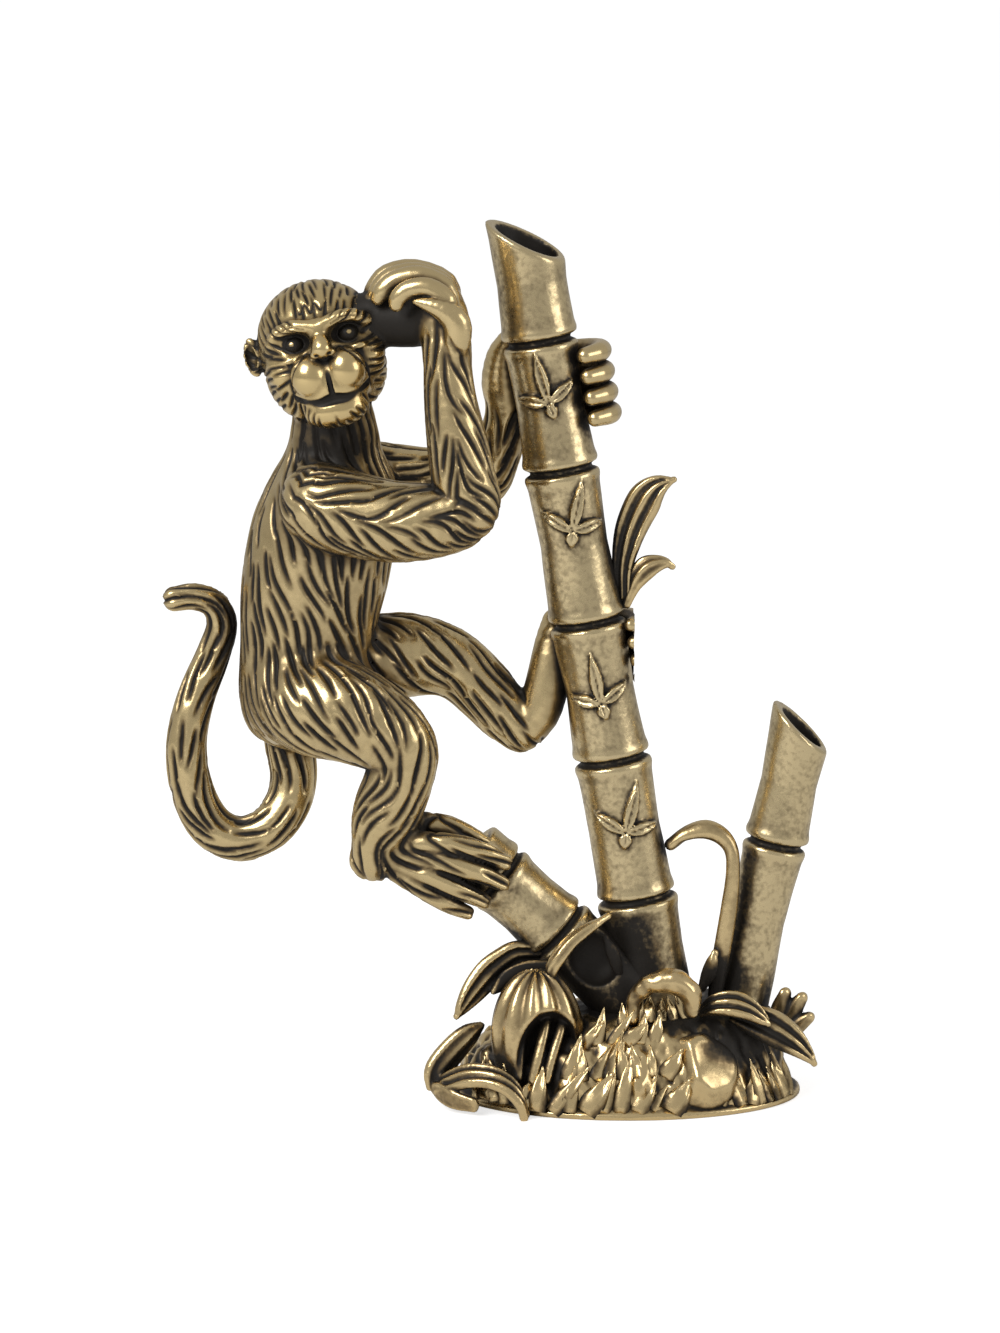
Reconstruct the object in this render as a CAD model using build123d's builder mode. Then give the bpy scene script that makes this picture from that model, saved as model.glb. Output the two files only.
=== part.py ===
from build123d import *
import os
from math import cos, pi, radians, sin

# A monkey climbing a leaning bamboo stalk, a small solid brass ornament on a mound of ground.
# Millimetres. +Z is up, the front view looks along +Y, and the monkey is on the -X side of the stalk.
# Right and left are the monkey's own: it faces the stalk, so its right limbs are the near ones.
# A table whose name ends in shares holds shares of the named sizes that its own comment gives.

os.makedirs("parts", exist_ok=True)

body_facets = 16  # sides of the torso's and the head's sections
limb_facets = 12
stalk_facets = 18
digit_facets = 6  # sides of a finger, a toe or a leaf
mound_facets = 22
overrun = 8.0  # how far a cutting solid runs past what it cuts

# Mound
mound_length = 26.0
mound_depth = 17.8
mound_height = 7.4
mound_middle = -3.2  # from the foot of the main stalk, along X

# Main stalk
stalk_height = 64.6  # floor to the highest point of the cut
stalk_lean = 9.5  # degrees towards the monkey
stalk_radius = 2.8
stalk_root = 3.4  # height above the floor where both stalks start, inside the mound
joint_groove = 0.42
joint_width = 0.75
stalk_bore = 2.1  # radius of the hollow at the top
bore_depth = 4.4  # from the tip of the cut to the floor of the hollow

# Small stalk
small_height = 29.0  # floor to the highest point of the cut
small_lean = 12.3  # degrees away from the monkey
small_radius = 2.3
small_gap = 3.75  # between the feet of the two stalks, along X
small_back = 1.0
small_bore = 1.6
small_bore_depth = 6.2

# Stump under the near foot
stump_height = 18.2  # floor to the middle of the dished end
stump_lean = 46.7  # degrees towards the monkey
stump_radius = 2.5
stump_root = 5.6  # height above the floor where the stump starts, inside the main stalk
stump_offset = 4.8  # from the main stalk's foot along the floor, away from the monkey
stump_front = 1.05
stump_dish = 0.9

# Torso
seat_height = 26.0  # floor to the lowest point of the rump
seat_reach = 22.8  # from the stalk's axis to the rump
torso_length = 23.6
torso_width = 10.8
torso_depth = 9.8

# Head
head_height = 11.2
head_width = 8.8
head_depth = 9.4
head_rise = 5.3  # from the top of the neck to the middle of the head
head_front = 1.5
head_side = 0.5
head_roll = 13.0  # degrees, crown away from the stalk
eye_radius = 0.8
mouth_radius = 1.95
mouth_groove = 0.3
ear_height = 2.9
ear_width = 2.2
ear_spread = 1.5

# Arms
arm_radius = 2.9
wrist_radius = 1.6
right_upper_arm_length = 10.1
left_upper_arm_length = 8.5
right_wrist_gap = 4.25  # from the side of the head to the wrist
right_wrist_front = 3.2
right_wrist_drop = 0.5
hand_length = 4.4
left_grip_height = 52.1
left_wrist_drop = 0.95
left_wrist_gap = 2.2  # from the surface of the stalk

# Legs
thigh_radius = 3.7
shin_radius = 2.6
ankle_radius = 1.8
right_thigh_length = 7.0
left_thigh_length = 8.4
right_foot_length = 9.2
right_heel_reach = 7.5  # from the middle of the stump's end back to the heel
right_heel_front = 2.7
right_ankle_rise = 0.5  # above the heel
left_heel_height = 27.9
left_heel_gap = 3.7  # from the surface of the stalk
left_foot_length = 8.4

# Fingers and toes
finger_radius = 0.8
finger_pitch = 1.36
toe_radius = 0.9
toe_pitch = 1.3

# Tail
tail_reach = 9.8  # rump to the far side of the hook
tail_height = 18.2  # lowest point of the hook to its highest
tail_radius = 1.75

# Leaves, rocks and grass
leaf_thickness = 1.0
leaf_width = 2.6
leaf_gap = 0.465  # from the left foot's top toe up to the leaves on the main stalk
long_leaf_length = 9.8
short_leaf_length = 5.2
bridge_width = 1.5
sheath_leaf_length = 6.0
sprout_height = 9.2
sprout_radius = 3.0
curl_radius = 1.6
rock_radius = 3.3
knob_radius = 1.0
ribbed_leaf_length = 5.0
floor_leaf_length = 9.4
tuft_radius = 1.3
blade_width = 1.5
blade_count = 9
blade_start_share = -0.4  # of the mound's half length
blade_step_share = 0.082

# Directions and feet
across = Vector(0, 1, 0)
up = Vector(0, 0, 1)
stalk_axis = Vector(-sin(radians(stalk_lean)), 0, cos(radians(stalk_lean)))
small_axis = Vector(sin(radians(small_lean)), 0, cos(radians(small_lean)))
stump_axis = Vector(-sin(radians(stump_lean)), 0, cos(radians(stump_lean)))
stalk_foot = Vector(0, 0, 0)
small_foot = Vector(small_gap, small_back, 0)
stump_foot = Vector(stump_offset, -stump_front, 0)


def along_axis(foot, axis, height):
    # The point at a height on a leaning axis
    return foot + axis * (height / axis.Z)


def round_axis(foot, axis, height, turn, reach):
    # A point at a reach from a leaning axis, turned in degrees from the +X side towards +Y
    side = across.cross(axis)
    level = side * (reach * cos(radians(turn))) + across * (reach * sin(radians(turn)))
    return along_axis(foot, axis, height) + level


def heading(azimuth, rise):
    # A unit direction: azimuth in degrees from +X towards +Y, rise in degrees above level
    level = cos(radians(rise))
    return Vector(level * cos(radians(azimuth)), level * sin(radians(azimuth)), sin(radians(rise)))


def mix(start, end, share):
    return start + (end - start) * share


def ring(plane, wide, back, front, facets):
    # Corners of an oval on a plane: half width along its x, half depth behind and in front
    turns = [2 * pi * (place + 0.5) / facets for place in range(facets)]
    corners = [(wide * cos(turn), (back if sin(turn) > 0 else front) * sin(turn)) for turn in turns]
    return [plane.from_local_coords(Vector(x, y, 0)) for x, y in corners]


def skin(rings):
    # A solid of flat facets through rings of corners
    faces = [Face(Wire.make_polygon(corners)) for corners in (rings[0], rings[-1])]
    for low, high in zip(rings, rings[1:]):
        for a, b, c, d in zip(low, low[1:] + low[:1], high[1:] + high[:1], high):
            faces += [Face(Wire.make_polygon([a, b, c])), Face(Wire.make_polygon([a, c, d]))]
    return Solid(Shell(faces))


def tube(points, halves, side=across, facets=limb_facets):
    # A solid through ovals square to a line of points. Each entry of halves is the half width in the
    # plane square to side, then the half depth along side, and against it where that differs.
    last = len(points) - 1
    rings = []
    for place, (point, half) in enumerate(zip(points, halves)):
        along = (points[min(place + 1, last)] - points[max(place - 1, 0)]).normalized()
        plane = Plane(origin=point, x_dir=side.cross(along).normalized(), z_dir=along)
        rings.append(ring(plane, half[0], half[1], half[-1], facets))
    return skin(rings)


def round_tube(points, sizes, side=across, facets=limb_facets, cap_shares=((0.55, 0.83), (0.88, 0.47))):
    # A tube with rounded ends. Cap shares are (reach beyond the end, size) of the end's own radius.
    first = (points[0] - points[1]).normalized()
    last = (points[-1] - points[-2]).normalized()
    low = [(points[0] + first * (sizes[0] * reach), sizes[0] * size) for reach, size in reversed(cap_shares)]
    high = [(points[-1] + last * (sizes[-1] * reach), sizes[-1] * size) for reach, size in cap_shares]
    marks = low + list(zip(points, sizes)) + high
    return tube([point for point, _ in marks], [(size, size) for _, size in marks], side, facets)


def limb(start, end, radius, shares):
    # A limb from joint to joint. Shares are (along it, under it, towards the viewer, thickness), the first
    # three of its length and the last of its radius.
    length = (end - start).length
    along = (end - start).normalized()
    under = across.cross(along).normalized()
    front = along.cross(under)
    points = [mix(start, end, step) + (under * down + front * out) * length for step, down, out, _ in shares]
    return round_tube(points, [radius * thick for *_, thick in shares])


def digit(points, sizes):
    # A finger or a toe through points, with a blunt tip
    side = (points[-1] - points[0]).cross(points[len(points) // 2] - points[0]).normalized()
    return round_tube(points, sizes, side, digit_facets, ((0.6, 0.75),))


def spread(root, length, shares):
    # Places in shares of a length from a root: along X, towards the viewer and up
    return [root + Vector(x, -front, rise) * length for x, front, rise, *_ in shares]


def leaf(points, width, thickness, side=across):
    # A pointed leaf along its midrib, flat against side
    blade_shares = [0.5, 0.8, 0.97, 0.97, 0.78, 0.45, 0.12]  # of the width, from root to tip
    steps = len(blade_shares) - 1
    rib = Spline(points, mode=Mode.PRIVATE)
    places = [rib @ (step / steps) for step in range(steps + 1)]
    halves = [(width * size / 2, thickness * (1 + size) / 4) for size in blade_shares]
    return tube(places, halves, side, digit_facets)


def lump(middle, halves, facets=limb_facets):
    # A faceted spheroid, with its half sizes along X, Y and Z
    level_shares = [(-0.95, 0.3), (-0.6, 0.8), (0, 1), (0.45, 0.9), (0.8, 0.6), (0.98, 0.2)]
    wide, deep, tall = halves
    points = [middle + up * (tall * level) for level, _ in level_shares]
    return tube(points, [(wide * size, deep * size) for _, size in level_shares], across, facets)


def stalk_solid(foot, axis, radius, start, end, joint_shares, waist_shares, cut_plane, bore, depth):
    # A stalk along its axis, with a groove at each joint, waisted between, cut aslant and hollowed
    length = end / axis.Z
    marks = [start / axis.Z] + [length * share for share in joint_shares] + [length + overrun]
    side = across.cross(axis)
    half_gap = joint_width / 2
    sections = [(marks[0], radius)]
    for low, high, waist in zip(marks, marks[1:], waist_shares):
        sections += [((low + high) / 2, radius * waist), (high - half_gap, radius)]
        if high != marks[-1]:
            sections += [(high, radius - joint_groove), (high + half_gap, radius)]
    hollow = [(length - depth, bore), (length + overrun, bore)]
    outside, inside = [
        skin([ring(Plane(origin=foot + axis * height, x_dir=side, z_dir=axis), size, size, size, stalk_facets)
              for height, size in marks]) for marks in (sections, hollow)]
    with BuildPart() as solid:
        add(outside)
        split(bisect_by=cut_plane, keep=Keep.BOTTOM)
        add(inside, mode=Mode.SUBTRACT)
    return solid.part


# Mound: the outline is in shares of the half length and half depth. Its levels are shares of the height,
# of the outline's size there and of the half length that it shifts towards the stalks.

with BuildPart() as base_mound:
    outline_shares = [(1, -0.25), (0.9, 0.32), (0.55, 0.8), (0, 1), (-0.5, 0.86), (-0.94, 0.46), (-1, -0.1),
                      (-0.78, -0.66), (-0.3, -1), (0.28, -0.98), (0.74, -0.72)]
    level_shares = [(0, 0.98, 0), (0.1, 1, 0), (0.4, 0.95, 0.02), (0.68, 0.84, 0.08), (0.88, 0.65, 0.2),
                    (1, 0.34, 0.34)]
    rim = Spline([Vector(*corner) for corner in outline_shares], periodic=True, mode=Mode.PRIVATE)
    edge = [rim @ (place / mound_facets) for place in range(mound_facets)]
    add(skin([[Vector(mound_middle + (corner.X * size + shift) * mound_length / 2,
                      corner.Y * size * mound_depth / 2, mound_height * height) for corner in edge]
              for height, size, shift in level_shares]))

# Main stalk: joints in shares of its height, waists in shares of its radius

stalk_joint_shares = [0.228, 0.39, 0.541, 0.706, 0.852]
stalk_waist_shares = [1.02, 0.93, 0.9, 0.87, 0.87, 0.92]
stalk_tip = along_axis(stalk_foot, stalk_axis, stalk_height) - across.cross(stalk_axis) * stalk_radius
stalk_cut = Plane(origin=stalk_tip, z_dir=(0.4, -0.16, 0.9))

with BuildPart() as main_stalk:
    add(stalk_solid(stalk_foot, stalk_axis, stalk_radius, stalk_root, stalk_height, stalk_joint_shares,
                    stalk_waist_shares, stalk_cut, stalk_bore, bore_depth))
    add(base_mound.part, mode=Mode.SUBTRACT)

# Small stalk

small_joint_shares = [0.6]
small_waist_shares = [0.88, 0.87]
small_tip = along_axis(small_foot, small_axis, small_height - small_radius * sin(radians(small_lean)))
small_tip -= across.cross(small_axis) * small_radius
small_cut = Plane(origin=small_tip, z_dir=(0.66, -0.16, 0.74))

with BuildPart() as small_stalk:
    add(stalk_solid(small_foot, small_axis, small_radius, stalk_root, small_height, small_joint_shares,
                    small_waist_shares, small_cut, small_bore, small_bore_depth))
    add([base_mound.part, main_stalk.part], mode=Mode.SUBTRACT)

# Torso: shares of the length (along, shift in x, shift in y), of the width and of the depth

seat = along_axis(stalk_foot, stalk_axis, seat_height) - Vector(seat_reach, 0, 0)
torso_shares = [
    (0, 0, 0, 0.13, 0.13),
    (0.045, 0.01, 0, 0.3, 0.29),
    (0.137, 0.018, 0, 0.435, 0.44),
    (0.324, 0.025, 0, 0.454, 0.42),
    (0.511, 0.051, 0, 0.5, 0.47),
    (0.697, 0.083, 0, 0.49, 0.5),
    (0.82, 0.105, -0.005, 0.417, 0.45),
    (0.922, 0.1157, -0.021, 0.324, 0.33),
    (1, 0.1165, -0.042, 0.28, 0.285),
    (1.08, 0.11, -0.06, 0.26, 0.27),
]


def torso_point(along, side=0, front=0):
    # A point inside the torso: along in shares of its length, side and front in shares of its half sizes
    low = max(i for i, row in enumerate(torso_shares[:-1]) if row[0] <= along)
    start, end = torso_shares[low], torso_shares[low + 1]
    part = (along - start[0]) / (end[0] - start[0])
    row = [a + (b - a) * part for a, b in zip(start, end)]
    offset = Vector(side * row[3] * torso_width, -front * row[4] * torso_depth, 0)
    return seat + Vector(row[1], row[2], along) * torso_length + offset


# Head: shares of the height, of the width, of the depth behind and in front, and its shift forward

neck = torso_point(1)
head_middle = neck + Vector(-head_side, -head_front, head_rise)
head_up = Vector(-sin(radians(head_roll)), 0, cos(radians(head_roll)))
head_right = across.cross(head_up)
head_shares = [
    (-0.5, 0.15, 0.12, 0.14, 0.18),
    (-0.43, 0.26, 0.25, 0.23, 0.13),
    (-0.27, 0.4, 0.42, 0.38, 0.05),
    (-0.06, 0.47, 0.5, 0.42, 0),
    (0.1, 0.49, 0.52, 0.41, 0),
    (0.23, 0.5, 0.51, 0.48, 0),
    (0.36, 0.42, 0.44, 0.4, 0),
    (0.46, 0.27, 0.28, 0.26, 0),
    (0.5, 0.1, 0.1, 0.1, 0),
]


def head_point(right, out, rise):
    # Shares of the head's width, depth and height from its middle
    return head_middle + head_right * (right * head_width) - across * (out * head_depth) + head_up * (
        rise * head_height)


def head_tube(place_shares, half_shares, side):
    # Places in shares of width, depth and height; halves in shares of the width
    points = [head_point(*place) for place in place_shares]
    return tube(points, [[size * head_width for size in half] for half in half_shares], side)


with BuildPart() as head:
    add(skin([ring(Plane(origin=head_point(0, shift, rise), x_dir=head_right, z_dir=head_up),
                   wide * head_width, back * head_depth, front * head_depth, body_facets)
              for rise, wide, back, front, shift in head_shares]))
    for hand in (-1, 1):
        socket = eye_radius * 1.5
        add(lump(head_point(hand * 0.22, 0.49, 0.13), (socket, socket, socket)), mode=Mode.SUBTRACT)
        add(lump(head_point(hand * 0.215, 0.36, 0.14), (eye_radius, eye_radius, eye_radius)))
    # Muzzle, chin and nose
    add(head_tube([(0, 0.1, -0.14), (0, 0.42, -0.15), (0, 0.56, -0.16), (0, 0.64, -0.17), (0, 0.67, -0.17)],
                  [(0.33, 0.25), (0.31, 0.235), (0.26, 0.2), (0.17, 0.13), (0.06, 0.05)], head_up))
    add(head_tube([(0, 0.2, -0.33), (0, 0.42, -0.34), (0, 0.53, -0.345), (0, 0.58, -0.35)],
                  [(0.27, 0.13), (0.24, 0.12), (0.17, 0.09), (0.06, 0.04)], head_up))
    add(head_tube([(0, 0.3, 0.13), (0, 0.45, 0.1), (0, 0.56, 0.06), (0, 0.62, 0.02)],
                  [(0.08, 0.08), (0.09, 0.09), (0.11, 0.08), (0.05, 0.04)], head_up))
    # The line of the mouth, a groove round the front of the muzzle
    lip = head_point(0, 0.38, -0.3)
    smile = [lip + (head_right * cos(radians(turn)) - across * sin(radians(turn))) * mouth_radius
             for turn in (-10, 20, 50, 75, 105, 130, 160, 190)]
    add(tube(smile, [(mouth_groove, mouth_groove)] * len(smile), head_up, 4), mode=Mode.SUBTRACT)

with BuildPart() as torso:
    add(skin([ring(Plane(origin=seat + Vector(shift, lean, along) * torso_length), wide * torso_width,
                   deep * torso_depth, deep * torso_depth, body_facets)
              for along, shift, lean, wide, deep in torso_shares]))
    add(head.part, mode=Mode.SUBTRACT)


def ear(hand):
    # A thin cupped ear, its root inside the head
    spread_shares = [(-0.5, 0.3, 0.25), (0.1, 0.36, 0.32), (0.62, 0.5, 0.46), (0.9, 0.46, 0.42),
                     (1, 0.3, 0.28)]
    root = head_point(hand * 0.47, 0.02, 0)
    points = [root + head_right * (hand * ear_spread * along) for along, _, _ in spread_shares]
    return tube(points, [(ear_height * tall, ear_width * wide) for _, tall, wide in spread_shares])


with BuildPart() as right_ear:
    add(ear(-1))
    add(head.part, mode=Mode.SUBTRACT)

with BuildPart() as left_ear:
    add(ear(1))
    add(head.part, mode=Mode.SUBTRACT)

# Stump: one joint near its middle, a dished end under the foot

stump_joint_shares = [0.66]
stump_waist_shares = [0.95, 0.93]
stump_top = along_axis(stump_foot, stump_axis, stump_height)
stump_cut = Plane(origin=stump_top, z_dir=stump_axis)

with BuildPart() as stump:
    add(stalk_solid(stump_foot, stump_axis, stump_radius, stump_root, stump_height, stump_joint_shares,
                    stump_waist_shares, stump_cut, stump_radius - joint_width, stump_dish))
    add([base_mound.part, main_stalk.part], mode=Mode.SUBTRACT)

# Arms

right_upper_shares = [(0, 0, 0, 1.05), (0.22, 0.068, 0.027, 1.05), (0.45, 0.107, 0.035, 1.02),
                      (0.68, 0.116, 0.025, 0.97), (0.86, 0.084, 0.014, 0.9)]
right_fore_shares = [(0, 0, 0, 0.81), (0.17, 0, 0.013, 0.79), (0.41, -0.011, 0.021, 0.74),
                     (0.71, -0.019, 0.024, 0.64), (1, 0, 0, 0.57)]

right_shoulder = torso_point(0.767, 0.03, 1.03)
right_elbow = right_shoulder + heading(-10, 2) * right_upper_arm_length
right_wrist = head_point(0.5, 0, 0) + Vector(right_wrist_gap, -right_wrist_front, -right_wrist_drop)

with BuildPart() as right_upper_arm:
    add(limb(right_shoulder, right_elbow, arm_radius, right_upper_shares))
    add(torso.part, mode=Mode.SUBTRACT)

with BuildPart() as right_forearm:
    add(limb(right_elbow, right_wrist, arm_radius, right_fore_shares))
    add(right_upper_arm.part, mode=Mode.SUBTRACT)

# Right hand: the palm lies against the side of the head, the fingers arch over on to the crown.
# Shares are places in lengths of the hand from the wrist, then thickness in finger radii or wrist radii.

palm_shares = [(0, 0, -0.045, 1.02), (-0.045, -0.09, 0.41, 1.18), (-0.18, -0.25, 0.82, 1.09),
               (-0.386, -0.386, 1.02, 0.8)]
web_shares = [(-0.114, -0.205, 0.5, 1.18), (-0.568, -0.43, 0.43, 1.18), (-1.16, -0.61, 0.455, 1.25)]
first_shares = [(-0.114, 0.136, 0.727, 1), (-0.09, 0.114, 1.045, 1.02), (-0.386, 0.068, 1.295, 0.97),
                (-0.75, 0.045, 1.216, 0.92), (-0.932, 0.045, 0.932, 0.82)]
last_shares = [(-0.114, -0.784, 0.966, 1), (-0.16, -0.807, 1.25, 1.02), (-0.625, -0.852, 1.364, 0.97),
               (-1.057, -0.875, 1.284, 0.92), (-1.341, -0.875, 0.966, 0.82)]
thumb_shares = [(0.114, 0.205, -0.045, 1.12), (0.17, 0.273, 0.364, 1.19), (0.068, 0.318, 0.705, 1.06),
                (-0.227, 0.318, 0.864, 0.85), (-0.477, 0.273, 0.818, 0.62)]
digit_count = 4


def thick(shares, radius):
    return [radius * row[-1] for row in shares]


def between(first, last):
    # Share tables for the digits of a hand or foot, from the first one's to the last one's
    steps = [place / (digit_count - 1) for place in range(digit_count)]
    return [[[mix(a, b, step) for a, b in zip(*rows)] for rows in zip(first, last)] for step in steps]


with BuildPart() as right_hand:
    for shares in (palm_shares, web_shares):
        add(round_tube(spread(right_wrist, hand_length, shares), thick(shares, wrist_radius)))
    for shares in between(first_shares, last_shares):
        add(digit(spread(right_wrist, hand_length, shares), thick(shares, finger_radius)))
    add(digit(spread(right_wrist, hand_length, thumb_shares), thick(thumb_shares, finger_radius)))
    add([right_forearm.part, head.part, left_ear.part], mode=Mode.SUBTRACT)

# Left arm and the hand that grips the stalk from behind

left_upper_shares = [(0, 0, 0, 0.9), (0.26, 0.05, -0.026, 0.89), (0.51, 0.077, -0.039, 0.86),
                     (0.73, 0.085, -0.043, 0.83), (0.91, 0.058, -0.025, 0.78)]
left_fore_shares = [(0, 0, 0, 0.72), (0.26, 0.042, -0.011, 0.67), (0.6, 0.057, -0.008, 0.59), (1, 0, 0, 0.53)]

left_shoulder = torso_point(0.814, 0.67, -0.73)
left_elbow = left_shoulder + heading(12, 1) * left_upper_arm_length
left_wrist = round_axis(stalk_foot, stalk_axis, left_grip_height - left_wrist_drop, 132,
                        stalk_radius + left_wrist_gap)

with BuildPart() as left_upper_arm:
    add(limb(left_shoulder, left_elbow, arm_radius, left_upper_shares))
    add(torso.part, mode=Mode.SUBTRACT)

with BuildPart() as left_forearm:
    add(limb(left_elbow, left_wrist, arm_radius, left_fore_shares))
    add([left_upper_arm.part, main_stalk.part], mode=Mode.SUBTRACT)


def grip(height, turns, sizes):
    # A digit round the main stalk at a height, at the turns given in degrees
    reach = stalk_radius + sizes[0] / 2
    return digit([round_axis(stalk_foot, stalk_axis, height, turn, reach) for turn in turns], sizes)


grip_shares = [1.05, 1, 0.97, 0.97, 0.85]  # of the digit's radius, from root to tip
left_palm_shares = [(0, 0, -0.045, 0.97), (-0.068, 0.114, 0.318, 1.06), (-0.068, 0.25, 0.727, 0.88),
                    (0, 0.386, 1, 0.63)]

with BuildPart() as left_hand:
    add(round_tube(spread(left_wrist, hand_length, left_palm_shares), thick(left_palm_shares, wrist_radius)))
    for place in range(digit_count):
        height = left_grip_height + (place - (digit_count - 1) / 2) * finger_pitch
        add(grip(height, (120, 85, 45, 5, -30), [finger_radius * size for size in grip_shares]))
    add([left_forearm.part, main_stalk.part], mode=Mode.SUBTRACT)

# Right leg: shares as for the arms

right_thigh_shares = [(0, 0, 0, 1.01), (0.19, -0.058, 0.044, 0.99), (0.39, -0.098, 0.058, 0.93),
                      (0.58, -0.118, 0.058, 0.86), (0.76, -0.113, 0.045, 0.8)]
right_shin_shares = [(0, 0, 0, 1), (0.27, -0.027, 0.007, 0.96), (0.56, 0.005, 0.004, 0.96),
                     (0.82, 0.018, 0, 0.77), (1, 0, 0, 0.58)]

right_hip = torso_point(0.144, 0.29, 0.86)
right_knee = right_hip + heading(-12, -28) * right_thigh_length
right_heel = stump_top + Vector(-right_heel_reach, -right_heel_front, -right_ankle_rise / 2)
right_ankle = right_heel + Vector(right_ankle_rise, 0, right_ankle_rise)

with BuildPart() as right_thigh:
    add(limb(right_hip, right_knee, thigh_radius, right_thigh_shares))
    add(torso.part, mode=Mode.SUBTRACT)

# Right foot: it widens from the heel to a fan of toes against the stump. Shares are places in lengths of the
# foot from the heel, then thickness in ankle or toe radii.

sole_shares = [(0, 0, 0, 0.75), (0.13, 0.011, 0.076, 1.05), (0.413, 0.011, 0.076, 1.1),
               (0.717, -0.022, -0.033, 1.16), (0.891, -0.065, -0.12, 0.94)]
top_toe_shares = [(0.12, 0.087, 0.152, 1.33), (0.413, 0.12, 0.141, 1.17), (0.696, 0.12, 0.109, 1.06),
                  (0.924, 0.087, 0.043, 0.89), (1.098, 0.043, -0.022, 0.69)]
low_toe_shares = [(0.12, 0.022, 0.054, 1.33), (0.413, 0.038, -0.152, 1.17), (0.696, 0.022, -0.299, 1.06),
                  (0.875, -0.011, -0.397, 0.89), (0.821, -0.054, -0.462, 0.69)]
big_toe_shares = [(0.152, -0.065, 0.163, 1.44), (0.391, -0.098, 0.272, 1.22), (0.63, -0.12, 0.261, 1.06),
                  (0.848, -0.13, 0.163, 0.94), (0.989, -0.13, 0.065, 0.67)]

with BuildPart() as right_foot:
    add(round_tube(spread(right_heel, right_foot_length, sole_shares), thick(sole_shares, ankle_radius)))
    for shares in between(top_toe_shares, low_toe_shares):
        add(digit(spread(right_heel, right_foot_length, shares), thick(shares, toe_radius)))
    add(digit(spread(right_heel, right_foot_length, big_toe_shares), thick(big_toe_shares, toe_radius)))
    add(stump.part, mode=Mode.SUBTRACT)

with BuildPart() as right_shin:
    add(limb(right_knee, right_ankle, shin_radius, right_shin_shares))
    add([right_thigh.part, right_foot.part], mode=Mode.SUBTRACT)

# Left leg and the foot that grips the stalk

left_thigh_shares = [(0, 0, 0, 0.89), (0.17, -0.069, -0.041, 0.89), (0.35, -0.114, -0.057, 0.86),
                     (0.52, -0.128, -0.062, 0.81), (0.69, -0.124, -0.055, 0.74), (0.85, -0.084, -0.036, 0.68)]
left_shin_shares = [(0, 0, 0, 0.92), (0.29, 0, 0.004, 0.88), (0.71, 0.029, -0.013, 0.81), (1, 0, 0, 0.65)]

left_hip = torso_point(0.229, 0.77, -0.55)
left_knee = left_hip + heading(2, -7) * left_thigh_length
left_heel = round_axis(stalk_foot, stalk_axis, left_heel_height, 166, stalk_radius + left_heel_gap)
low_toe_height = left_heel_height + left_foot_length * 0.32
top_toe_height = low_toe_height + toe_pitch * (digit_count - 1)

with BuildPart() as left_thigh:
    add(limb(left_hip, left_knee, thigh_radius, left_thigh_shares))
    add([torso.part, right_thigh.part], mode=Mode.SUBTRACT)

with BuildPart() as left_shin:
    add(limb(left_knee, left_heel, shin_radius, left_shin_shares))
    add([left_thigh.part, main_stalk.part], mode=Mode.SUBTRACT)

left_sole_shares = [(0, 0, 0, 0.83), (0.155, 0.024, 0.167, 0.89), (0.238, 0.012, 0.429, 0.89),
                    (0.298, -0.024, 0.762, 0.81), (0.31, -0.095, 0.952, 0.55)]
toe_shares = [1, 0.89, 0.85, 0.82, 0.7]  # of the toe's radius, from root to tip

with BuildPart() as left_foot:
    add(round_tube(spread(left_heel, left_foot_length, left_sole_shares),
                   thick(left_sole_shares, ankle_radius)))
    for place in range(digit_count):
        height = low_toe_height + place * toe_pitch
        add(grip(height, (150, 110, 70, 35, 0), [toe_radius * size for size in toe_shares]))
    add([left_shin.part, main_stalk.part], mode=Mode.SUBTRACT)

# Tail: shares of its reach along X, of its height, of its radius across and of its radius in thickness

tail_shares = [
    (-0.16, 0.14, 0.4, 0.9), (-0.21, 0.01, 0.8, 1), (-0.13, -0.13, 1.1, 1), (-0.11, -0.26, 0.9, 0.95),
    (-0.235, -0.36, 0.7, 0.92), (-0.46, -0.405, 0.6, 0.9), (-0.68, -0.345, 0.6, 0.88),
    (-0.81, -0.2, 0.6, 0.86), (-0.85, -0.015, 0.6, 0.83), (-0.79, 0.165, 0.7, 0.8), (-0.67, 0.335, 0.9, 0.74),
    (-0.62, 0.45, 0.9, 0.68), (-0.68, 0.55, 0.8, 0.63), (-0.83, 0.593, 0.6, 0.6), (-0.98, 0.575, 0.5, 0.35),
]

with BuildPart() as tail:
    places = [seat + Vector(x * tail_reach, y * tail_radius, z * tail_height) for x, z, y, _ in tail_shares]
    add(tube(places, [(tail_radius * size, tail_radius * size) for *_, size in tail_shares]))
    add([torso.part, right_thigh.part, left_thigh.part], mode=Mode.SUBTRACT)

# Leaves between and beside the stalks

# The bridge leaf climbs beside the small stalk and bends over to the main one. Its places are a share of
# the small stalk's height and of the way from the main stalk's axis to the small one's.

bridge_shares = [(0.24, 0.66), (0.43, 0.66), (0.55, 0.66), (0.625, 0.61), (0.665, 0.5), (0.672, 0.385),
                 (0.645, 0.22)]
bridge_size_shares = [0.5, 0.45, 0.45, 0.5, 0.55, 0.5, 0.35]  # of its width

with BuildPart() as bridge_leaf:
    places = [mix(along_axis(stalk_foot, stalk_axis, small_height * rise),
                  along_axis(small_foot, small_axis, small_height * rise), share) - across * bridge_width
              for rise, share in bridge_shares]
    add(tube(places, [(bridge_width * size, bridge_width * size) for size in bridge_size_shares]))
    add([base_mound.part, small_stalk.part, main_stalk.part], mode=Mode.SUBTRACT)

leaf_root = round_axis(stalk_foot, stalk_axis, top_toe_height + toe_radius + leaf_gap, 0, stalk_radius * 0.7)

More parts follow.
